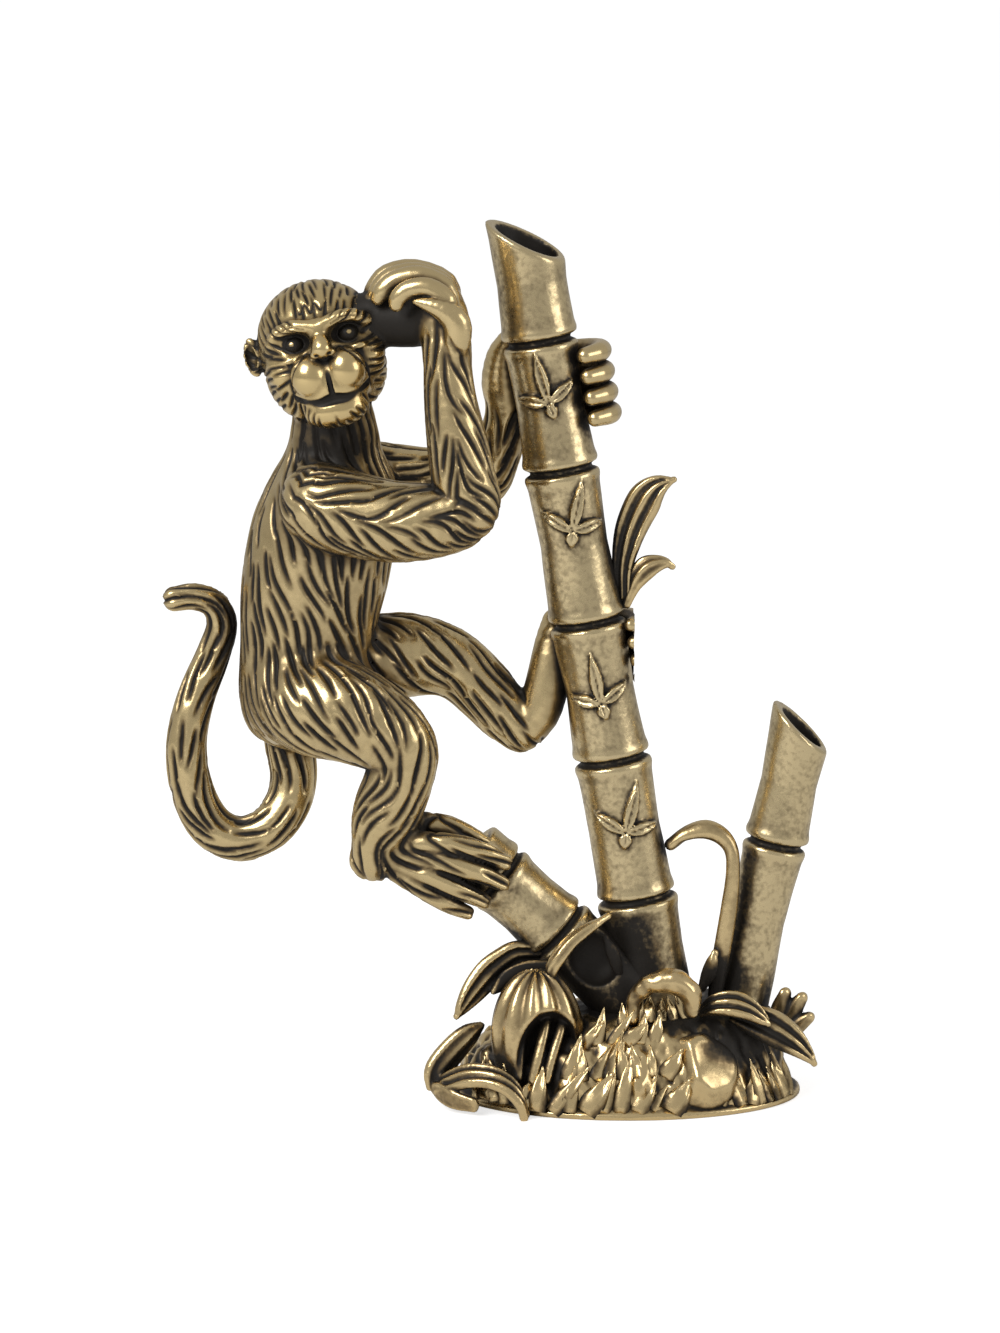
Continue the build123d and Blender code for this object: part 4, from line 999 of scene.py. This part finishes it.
twig = {
    "node": "bridge_leaf", "low": (11.6, -3.6, 6.6), "high": (18.8, 0.8, 21.4),
    "blades": [{
        "rows": [
            (16.0, -1.4, 7.4, 0.6), (16.3, -1.6, 9.6, 0.8), (16.65, -1.6, 11.6, 0.8),
            (17.05, -1.5, 14.3, 0.75), (17.25, -1.4, 16.6, 0.6), (17.15, -1.2, 18.3, 0.6),
            (16.4, -1.1, 19.4, 0.75), (15.2, -1, 19.9, 0.85), (13.9, -0.9, 19.6, 0.8),
            (12.7, -0.9, 18.7, 0.6)],
        "side": (0.8, 0.5, 0.5), "ribs": 1, "thick": 0.4,
    }, {
        "rows": [
            (15.0, -2.0, 8.2, 0.35), (15.4, -2.3, 9.3, 0.6), (15.7, -2.4, 10.3, 0.5),
            (15.9, -2.3, 10.9, 0.15)],
        "side": (0.8, -0.4, 0.2), "ribs": 1, "thick": 0.3,
    }],
}
longLeaf = {
    "node": "upper_leaf_long", "low": (7.4, -1.8, 33.6), "high": (13.9, 1.6, 46.6),
    "blades": [{
        "rows": [
            (9.1, -0.3, 36.9, 0.7), (9.1, -0.3, 39.0, 0.85), (9.35, -0.2, 40.6, 1.1), (9.8, 0, 42.1, 1.3),
            (10.5, 0, 43.6, 1.4), (11.0, 0, 44.4, 1.25), (11.7, 0, 45.0, 0.85), (12.8, 0, 45.4, 0.12)],
        "side": (0.9, -0.2, -0.4), "ribs": 3, "rib": 0.13, "curl": 0.15,
    }],
}
shortLeaf = {
    "node": "upper_leaf_short", "low": (8.6, -2.2, 34.6), "high": (14.0, 1.2, 40.8),
    "blades": [{
        "rows": [
            (9.3, -0.4, 36.3, 0.35), (9.8, -0.5, 37.5, 0.45), (10.2, -0.6, 38.4, 0.7),
            (10.8, -0.6, 39.1, 0.8), (11.6, -0.5, 39.4, 0.6), (12.3, -0.4, 39.4, 0.35),
            (12.75, -0.3, 39.1, 0.12)],
        "side": (0.5, -0.3, -0.8), "ribs": 2, "rib": 0.1, "curl": 0.3,
    }],
}
rock = {"node": "rock", "low": (10.9, -9.2, -0.4), "high": (18.6, -3.8, 7.4)}
knob = {
    "node": "root_knob", "low": (8.8, -7.4, 5.4), "high": (15.6, -3.6, 11.4),
    "rows": [
        (9.9, -4.9, 6.6, 0.5), (10.05, -5.1, 8.2, 0.6), (11.0, -5.4, 9.3, 0.72), (12.4, -5.6, 9.6, 0.9),
        (13.5, -5.7, 9.2, 0.9), (14.1, -5.7, 8.4, 0.75), (14.1, -5.6, 7.4, 0.5)],
}


def shootField(p):
    middle, radii = shoot["hood"]
    hood = ellipsoid(p, middle, radii)
    angle = np.arctan2(p[..., 1] - middle[1], p[..., 0] - middle[0])
    hood = hood - 0.13 * np.cos(angle * 11) * np.clip((p[..., 2] - 2) / 4, 0, 1)
    hood = smoothMax(hood, -ellipsoid(p, *shoot["opening"]), 0.35)
    return smoothMin(hood, bladesField(p, shoot["blades"]), 0.15)


def rockField(p):
    d = ellipsoid(p, (14.5, -5.7, 2.4), (3.1, 2.4, 3.3))
    d = smoothMax(d, (p - vec(13.4, -7.3, 2.6)) @ vec(-0.6, -0.75, 0.28), 0.2)  # flat facets, left and right
    d = smoothMax(d, (p - vec(15.4, -7.2, 3.6)) @ vec(0.42, -0.75, 0.51), 0.25)
    return smoothMax(d - 0.1 * wobble(p, 1.6), -p[..., 2], 0.1)


def knobField(p):
    return tube(p, knob["rows"], 4) - 0.1 * wobble(p, 2.4)


leafStep = 0.11


def formShape(form, field):
    form["shape"] = Shape(field, form["low"], form["high"], leafStep)
    pieceShapes.append(form["shape"])


leafForms = {
    "sheathLeaf": sheath, "archedLeaf": archedLeaf, "curledLeaf": curled, "ribbedLeaf": ribbed,
    "floorLeaf": floorLeaf, "tuftBlades": tuft, "twig": twig, "longLeaf": longLeaf, "shortLeaf": shortLeaf,
}
for form in leafForms.values():
    formShape(form, lambda p, form=form: bladesField(p, form["blades"]))
for form, field in ((shoot, shootField), (rock, rockField), (knob, knobField)):
    formShape(form, field)
leafForms |= {"shootHood": shoot, "rockForm": rock, "rootKnob": knob}
print("leaves sampled")


# Meshes

def boreShade(verts, stalk):
    # 1 inside the bore of a cut stalk
    q = verts - vec(*stalk["foot"])
    h = q @ vec(*stalk["axis"])
    bend = np.interp(verts[:, 2], stalk["bendHeights"], stalk["bend"])[:, None] * [1, 0, 0]
    r = np.linalg.norm(q - bend - h[:, None] * vec(*stalk["axis"]), axis=1)
    return np.clip((stalk["bore"] + 0.12 - r) / 0.1, 0, 1)


def plain(name, shape, material, node, slot="bamboo_brass", stalk=None):
    verts, faces = shape.mesh()
    normals = normalsOf(verts, faces)
    dip = ((relax(verts, edgesOf(faces), 14) - verts) * normals).sum(axis=1)
    # patina in dips, with painted shade in the shade patches and inside the bore
    cavity = np.clip(np.clip(dip / 0.12, -0.5, 1) + 0.8 * shadePatchAt(verts)
                     + (boreShade(verts, stalk) if stalk else 0), -0.5, 1.4)
    pieceFrom(name, verts, faces, normals, [cavity, hiddenAt(verts, normals)], material, slot, [node])


fur = {"spacing": 0.78, "reach": 4.6, "width": 0.19, "depth": 0.3}
headFur = {"spacing": 0.5, "reach": 2.2, "width": 0.13, "depth": 0.2}
# Rows that the fur follows; herring parts it along the ridge that faces the viewer; lean turns it
flows = [
    {
        "rows": [
            (-11.6, -0.9, 51, 3), (-12.2, 0, 43, 4.8), (-13.3, 0, 36, 5), (-13.9, 0.3, 29, 4.6),
            (-14.2, 0.5, 25.5, 2)],
        "herring": 0, "lean": (0.42, 0, 0),
    },
    {"rows": limbs["nearArm"][:5], "herring": 0.95, "lean": (0, 0, -0.15)},
    {"rows": limbs["nearArm"][:3:-1], "herring": 0.45, "lean": (0.1, 0, 0)},
    {"rows": limbs["farArm"], "herring": 0.5, "lean": (0, 0, 0)},
    {"rows": limbs["nearLeg"][:5], "herring": 0, "lean": (0, 0, -1.1)},
    {"rows": limbs["nearLeg"][4:], "herring": 0, "lean": (-0.75, 0, 0)},
    {"rows": limbs["farLeg"][:4], "herring": 0, "lean": (0, 0, -1.3)},
    {"rows": limbs["farLeg"][3:], "herring": 0, "lean": (0.3, 0, -0.5)},
    {"rows": limbs["tail"], "herring": 0.12, "lean": (0, 0, 0)},
    {"rows": palms["nearFoot"], "herring": 0, "lean": (0, 0, 0)}]
hairyNames = ("torso", "nearArm", "farArm", "nearLeg", "farLeg", "tail", "nearFoot")


def flowAt(p, n):
    # The way the fur lies at each place, along the surface
    total = np.zeros_like(p)
    facing = np.array([0, -1.0, 0])
    for flow in flows:
        rows = refine(flow["rows"], 3)
        best = np.full(len(p), 1e3)
        tangent = np.zeros_like(p)
        radial = np.zeros_like(p)
        for a, b in zip(rows, rows[1:]):
            line = b[:3] - a[:3]
            q = p - a[:3]
            t = np.clip(q @ line / (line @ line + 1e-9), 0, 1)
            away = q - t[:, None] * line
            size = np.linalg.norm(away, axis=1)
            d = size - (a[3] + t * (b[3] - a[3]))
            closer = d < best
            best = np.where(closer, d, best)
            tangent[closer] = line / np.linalg.norm(line)
            radial[closer] = away[closer] / np.maximum(size[closer], 1e-6)[:, None]
        side = np.cross(tangent, facing)
        share = np.clip((radial * side).sum(axis=1) * 3, -1, 1)[:, None]
        way = tangent + side * share * flow["herring"] + np.array(flow["lean"])
        total += way * np.exp(-np.maximum(best, -0.3) / 0.45)[:, None]
    q = localOf(p, headPlace)
    away = np.stack([q[:, 0] * 1.1, np.full(len(q), -2.2), q[:, 2] + 0.6], axis=1)
    total += 3 * away / np.linalg.norm(away, axis=1, keepdims=True) @ headPlace[1] * (
        1 / (1 + np.exp((np.linalg.norm(q * [1, 1, 0.85], axis=1) - 5.4) / 0.3)))[:, None]
    total -= n * (total * n).sum(axis=1, keepdims=True)
    total /= np.maximum(np.linalg.norm(total, axis=1, keepdims=True), 1e-6)
    turn = 0.3 * wobble(p, 0.9)[:, None]
    total = total * np.cos(turn) + np.cross(n, total) * np.sin(turn)
    return total


def inFace(p):
    q = localOf(p, facePlace)
    return (q[:, 1] > 0.6) & ((q[:, 0] / 3.3) ** 2 + (q[:, 2] / 4.15) ** 2 < 1)


def faceLine(places, width, depth):
    # A fine line cut in the face, along places of right, up and share of the depth
    out = np.linspace(7.5, 0, 240)  # from before the face inwards
    rows = []
    for right, up, share in refine(places, 10):
        ray = worldOf(np.stack([np.full(len(out), right), out, np.full(len(out), up)], axis=1), facePlace)
        first = np.argmax(headShape.read(ray) < 0)
        rows.append([*ray[first], depth * max(share, 0)])
    return np.array(rows), width


def nearestNames(parts):
    names = np.array(list(parts))
    return names[np.argmin(np.stack([parts[n] for n in names]), axis=0)]


def monkeySurface(shape, lines, fineLines):
    # The mesh with its fur cut in, its patina and painted shade marks, and what part each face belongs to
    verts, faces = shape.mesh()
    normals = normalsOf(verts, faces)
    parts = monkeyParts(verts)
    labels = nearestNames(parts)
    headGap = parts["head"] - np.minimum.reduce([d for name, d in parts.items() if name != "head"])
    groove = grooveAt(verts, lines, fur["width"])
    smooth = relax(verts, edgesOf(faces), int(round(0.55 / shape.step)) * 3)
    dip = ((smooth - verts) * normals).sum(axis=1)
    fine = np.zeros(len(verts))
    for rows, width in fineLines:
        fine = np.maximum(fine, grooveAt(verts, rows, width))
    out = verts - normals * (groove * fur["depth"])[:, None]
    out = out - normals * (fine * headFur["depth"])[:, None]
    hidden = hiddenAt(out, normals)
    # painted shadow: the sheet between the near hand and the head is painted dark
    webShadow = np.clip(1 - np.maximum(tube(verts, palms["nearWeb"], 3), 0) / 0.3, 0, 1) * (labels == "nearHand")
    webShadow = webShadow * np.clip(digitField(verts, "nearHand", "nearThumb") / 0.25, 0, 1)
    # patina in grooves, lines and dips, with painted shade and the painted eye highlights
    cavity = np.clip(groove * 1.15 + fine * 1.1 + np.clip(dip / 0.16, -0.3, 1) + webShadow + faceShade(verts)
                     + 0.6 * shadePatchAt(verts), -0.4, 1.4)
    return {"verts": out, "faces": faces, "normals": normalsOf(out, faces), "marks": [cavity, hidden],
            "labels": labels[faces[:, 0]], "headGap": headGap[faces[:, 0]]}


def furry(name, surface, mask, material, *nodes):
    pieceFrom(name, *closedPart(surface, mask), material, "fur_brass", nodes)


plain("mainStalk", mainShape, bambooBrass, "main_stalk", stalk=mainStalk)
plain("smallStalk", smallShape, bambooBrass, "small_stalk", stalk=smallStalk)
plain("log", logShape, bambooBrass, "stump")
plain("mound", groundShape, groundBrass, "base_mound", slot="ground_brass")
for name, form in leafForms.items():
    plain(name, form["shape"], groundBrass, form["node"], slot="ground_brass")

# Grass: blades stand in rows along paths at the mound's front and right rim
grassRows = [{
    "path": [(1.6, -7.7, 0.55), (4.5, -8.2, 0.5), (8.5, -8.35, 0.5), (12.6, -8.2, 0.55)], "count": 10,
    "height": 4.0, "width": 0.95, "lean": 0.4, "seed": 3,
}, {
    "path": [(5.2, -7.3, 2.6), (7.5, -7.6, 2.7), (10.0, -7.5, 2.8), (12.2, -7.2, 2.8)], "count": 8,
    "height": 3.6, "width": 0.8, "lean": 0.25, "seed": 8,
}, {
    "path": [(16.2, -6.9, 0.55), (18.4, -6.1, 0.5), (20.2, -4.9, 0.5), (21.4, -3.1, 0.5)], "count": 9,
    "height": 3.3, "width": 0.7, "lean": 0.1, "seed": 5,
}, {
    "path": [(6.2, -5.9, 4.7), (8.6, -6.2, 5.0), (11.4, -6.0, 5.0)], "count": 6, "height": 3.2, "width": 0.7,
    "lean": 0.45, "seed": 12,
}, {
    "path": [(-1.4, -5.9, 0.9), (-0.6, -6.6, 1.0), (0.6, -7.3, 0.9)], "count": 4, "height": 3.2,
    "width": 0.7, "lean": -0.2, "seed": 21,
}, {
    "path": [(9.2, -4.9, 6.0), (11.6, -4.8, 6.3), (13.8, -4.2, 6.4)], "count": 6, "height": 2.4,
    "width": 0.6, "lean": -0.1, "seed": 31,
}]


def grassGroup():
    # A fluted blade, widest at its middle, stands at each place along a path
    group = bpy.data.node_groups.new("grassRow", "GeometryNodeTree")
    given, result = socketsOf(group, [
        ("Path", "Geometry", None), ("Count", "Int", 8), ("Height", "Float", 0.004),
        ("Width", "Float", 0.0006), ("Lean", "Float", 0.3), ("Seed", "Int", 0),
        ("Material", "Material", None)], [("Blades", "Geometry")])
    tree = Tree(group)
    node, maths = tree.node, tree.maths

    def vector(*values):
        return node("ShaderNodeCombineXYZ", dict(enumerate(values)))[0]

    def chance(low, high, step):
        seed = maths("ADD", given["Seed"], step)
        limits = {"Min": low, "Max": high, "Seed": seed}
        return node("FunctionNodeRandomValue", limits, data_type="FLOAT")["Value"]

    blade = node("GeometryNodeMeshCone", {"Vertices": 12, "Side Segments": 10, "Fill Segments": 1,
                                          "Radius Top": 0.06, "Radius Bottom": 1.0, "Depth": 1.0})["Mesh"]
    x, y, z = node("ShaderNodeSeparateXYZ", {0: node("GeometryNodeInputPosition")[0]})
    swell = maths("ADD", 0.75, maths("MULTIPLY", maths("SINE", maths("MULTIPLY", z, 3.0)), 0.45))
    groove = maths("MULTIPLY", maths("COSINE", maths("MULTIPLY", x, 9.0)), -0.16)
    flat = maths("ADD", maths("MULTIPLY", y, 0.5), maths("MULTIPLY", groove, maths("SIGN", y)))
    shaped = vector(maths("MULTIPLY", x, swell), maths("MULTIPLY", flat, swell), z)
    blade = node("GeometryNodeSetPosition", {"Geometry": blade, "Position": shaped})["Geometry"]
    # painted shade: each blade is darker towards its foot, and darker towards its edges
    marks = {"hidden": maths("MULTIPLY", maths("SUBTRACT", 0.3, z), 0.4),
             "cavity": maths("SUBTRACT", maths("MULTIPLY", maths("ABSOLUTE", x), 1.9), 0.7)}
    for label, value in marks.items():
        blade = node("GeometryNodeStoreNamedAttribute", {"Geometry": blade, "Name": label, "Value": value},
                     data_type="FLOAT", domain="POINT")["Geometry"]
    curve = node("GeometryNodeMeshToCurve", {"Mesh": given["Path"]})["Curve"]
    spots = node("GeometryNodeResampleCurve", {"Curve": curve, "Count": given["Count"]})["Curve"]
    alongX, alongY, _ = node("ShaderNodeSeparateXYZ", {0: node("GeometryNodeInputTangent")[0]})
    turn = vector(chance(-0.45, -0.2, 2), maths("ADD", given["Lean"], chance(-0.35, 0.35, 1)),
                  maths("ADD", maths("ARCTAN2", alongY, alongX), chance(-0.4, 0.4, 3)))
    wide = maths("MULTIPLY", given["Width"], chance(0.8, 1.25, 4))
    size = vector(wide, wide, maths("MULTIPLY", given["Height"], chance(0.65, 1.1, 5)))
    stand = node("GeometryNodeInstanceOnPoints", {"Points": spots, "Instance": blade, "Rotation": turn,
                                                  "Scale": size})
    real = node("GeometryNodeRealizeInstances", {"Geometry": stand["Instances"]})["Geometry"]
    paint = node("GeometryNodeSetMaterial", {"Geometry": real, "Material": given["Material"]})
    tree.put(paint["Geometry"], result["Blades"])
    return group


grassTree = grassGroup()


def grow(name, row, material):
    points = (refine([(*spot, 0) for spot in row["path"]], 8)[:, :3] + shift) * mm
    path = bpy.data.meshes.new(name + "Path")
    path.from_pydata(points.tolist(), [(i, i + 1) for i in range(len(points) - 1)], [])
    carrier = added(name + "Path", path)
    modifier = carrier.modifiers.new("blades", "NODES")
    modifier.node_group = grassTree
    values = {"Count": row["count"], "Height": row["height"] * mm, "Width": row["width"] * mm,
              "Lean": row["lean"], "Seed": row["seed"], "Material": material}
    for socket in grassTree.interface.items_tree:
        if socket.in_out == "INPUT" and socket.name in values:
            modifier[socket.identifier] = values[socket.name]
    bpy.context.view_layer.update()
    mesh = bpy.data.meshes.new_from_object(carrier.evaluated_get(bpy.context.evaluated_depsgraph_get()))
    bpy.data.objects.remove(carrier)
    mesh.name = name
    mesh.polygons.foreach_set("use_smooth", [True] * len(mesh.polygons))
    piece = added(name, mesh)
    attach(piece, "root")
    print(name, len(mesh.polygons), "faces")
    return piece


grassPieces = [grow(f"grassRow{i}", row, groundBrass) for i, row in enumerate(grassRows, 1)]
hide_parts("grass_blades")


def furLines(shape, names, spacing, reach):
    verts, faces = shape.mesh()
    allowed = np.isin(nearestNames(monkeyParts(verts)), names) & ~inFace(verts)
    return flowLines(verts, normalsOf(verts, faces), allowed, shape, spacing, reach)


lines = furLines(monkeyShape, hairyNames, fur["spacing"], fur["reach"])
headLines = furLines(headShape, ("head",), headFur["spacing"], headFur["reach"])
print("fur lines", len(lines), len(headLines))
faceLines = [
    (headLines, headFur["width"]),
    faceLine([(-1.5, 4.6, 0), (-1.0, 3.95, 1), (-0.6, 4.5, 0.9), (-0.25, 3.9, 1), (0.1, 4.5, 0.9),
              (0.5, 3.95, 1), (0.9, 4.6, 0)], 0.12, 0.8),
]
for hand in (-1, 1):
    faceLines += [
        faceLine([(0.8 * hand, 1.35, 0), (1.6 * hand, 0.95, 0.9), (2.4 * hand, 0.1, 1), (2.8 * hand, -1.0, 1),
                  (2.75 * hand, -2.1, 0.8)], 0.13, 0.9),
        faceLine([(3.0 * hand, 0.75, 0), (2.4 * hand, 0.55, 0.9), (1.6 * hand, 1.0, 0.4)], 0.1, 0.7),
        faceLine([(3.0 * hand, 2.9, 0.6), (2.0 * hand, 3.2, 1), (1.0 * hand, 2.9, 0.6)], 0.1, 0.8),
    ]
furPieces = {  # each piece's part of the body, then the nodes that it replaces
    "torsoFur": ("torso", "torso"), "nearArmFur": ("nearArm", "right_upper_arm", "right_forearm"),
    "nearHand": ("nearHand", "right_hand"), "farArm": ("farArm", "left_upper_arm", "left_forearm"),
    "farHand": ("farHand", "left_hand"), "nearLeg": ("nearLeg", "right_thigh", "right_shin"),
    "nearFoot": ("nearFoot", "right_foot"), "farLeg": ("farLeg", "left_thigh", "left_shin"),
    "farFoot": ("farFoot", "left_foot"), "tailFur": ("tail", "tail"),
}
body = monkeySurface(monkeyShape, lines, [])
for name, (part, *nodes) in furPieces.items():
    furry(name, body, body["labels"] == part, furBrass, *nodes)
headSurface = monkeySurface(headShape, lines, faceLines)
furry("headForm", headSurface, headSurface["headGap"] < 0.25, faceBrass, "head", "right_ear", "left_ear")

# Floor, light and camera, in metres

studio = {"floorHalf": 2.0, "floorShade": 0.8, "floorLift": 0.68, "worldLight": 0.42}
lamps = {
    "key": {"place": (-0.2, -0.2, 0.26), "size": 0.2, "power": 0.7},
    "fill": {"place": (0.3, -0.12, 0.14), "size": 0.16, "power": 0.16},
}
lampAim = (0, 0, 0.03)
view = {
    "target": (0.25, 0, 31.7), "distance": 0.36302, "elevation": 10, "lens": 135, "sensor": 36,
    "clip": (0.01, 20),
}


def whiteMaterial():
    # Diffuse, and lifted to white for the camera alone, so that the shadow stays
    material = bpy.data.materials.new("paleGround")
    material.use_nodes = True
    tree = Tree(material.node_tree)
    seen = tree.node("ShaderNodeLightPath")["Is Camera Ray"]
    tree.fill(material.node_tree.nodes["Principled BSDF"], {
        "Base Color": (*[studio["floorShade"]] * 3, 1), "Roughness": 0.9, "Specular IOR Level": 0,
        "Emission Color": (1, 1, 1, 1),
        "Emission Strength": tree.maths("MULTIPLY", seen, studio["floorLift"])})
    return material


half = studio["floorHalf"]
floorMesh = bpy.data.meshes.new("floor")
corners = [(-half, -half, 0), (half, -half, 0), (half, half, 0), (-half, half, 0)]
floorMesh.from_pydata(corners, [], [(0, 1, 2, 3)])
floorMesh.materials.append(whiteMaterial())
floor = added("floor", floorMesh)

world = bpy.data.worlds.new("studio")
bpy.context.scene.world = world
world.use_nodes = True
sky = Tree(world.node_tree)
seen = sky.node("ShaderNodeLightPath")["Is Camera Ray"]
strength = sky.node("ShaderNodeMapRange", {"Value": seen, "To Min": studio["worldLight"]})["Result"]
sky.fill(world.node_tree.nodes["Background"], {"Strength": strength, "Color": (1, 1, 1, 1)})

for name, settings in lamps.items():
    data = bpy.data.lights.new(name, "AREA")
    data.shape, data.size, data.energy = "SQUARE", settings["size"], settings["power"]
    lamp = added(name, data)
    lamp.location = settings["place"]
    lamp.rotation_euler = Vector(np.array(lampAim) - settings["place"]).to_track_quat("-Z", "Y").to_euler()

cameraData = bpy.data.cameras.new("camera")
cameraData.lens = view["lens"]
cameraData.sensor_fit = "VERTICAL"
cameraData.sensor_width = cameraData.sensor_height = view["sensor"]
cameraData.clip_start, cameraData.clip_end = view["clip"]
camera = added("camera", cameraData)
elevation = math.radians(view["elevation"])
away = view["distance"] * np.array([0, -math.cos(elevation), math.sin(elevation)])
camera.location = (vec(*view["target"]) + shift) * mm + away
camera.rotation_euler = (math.pi / 2 - elevation, 0, 0)
bpy.context.scene.camera = camera
bpy.context.scene.view_settings.view_transform = "Standard"
print("floor, light and camera")
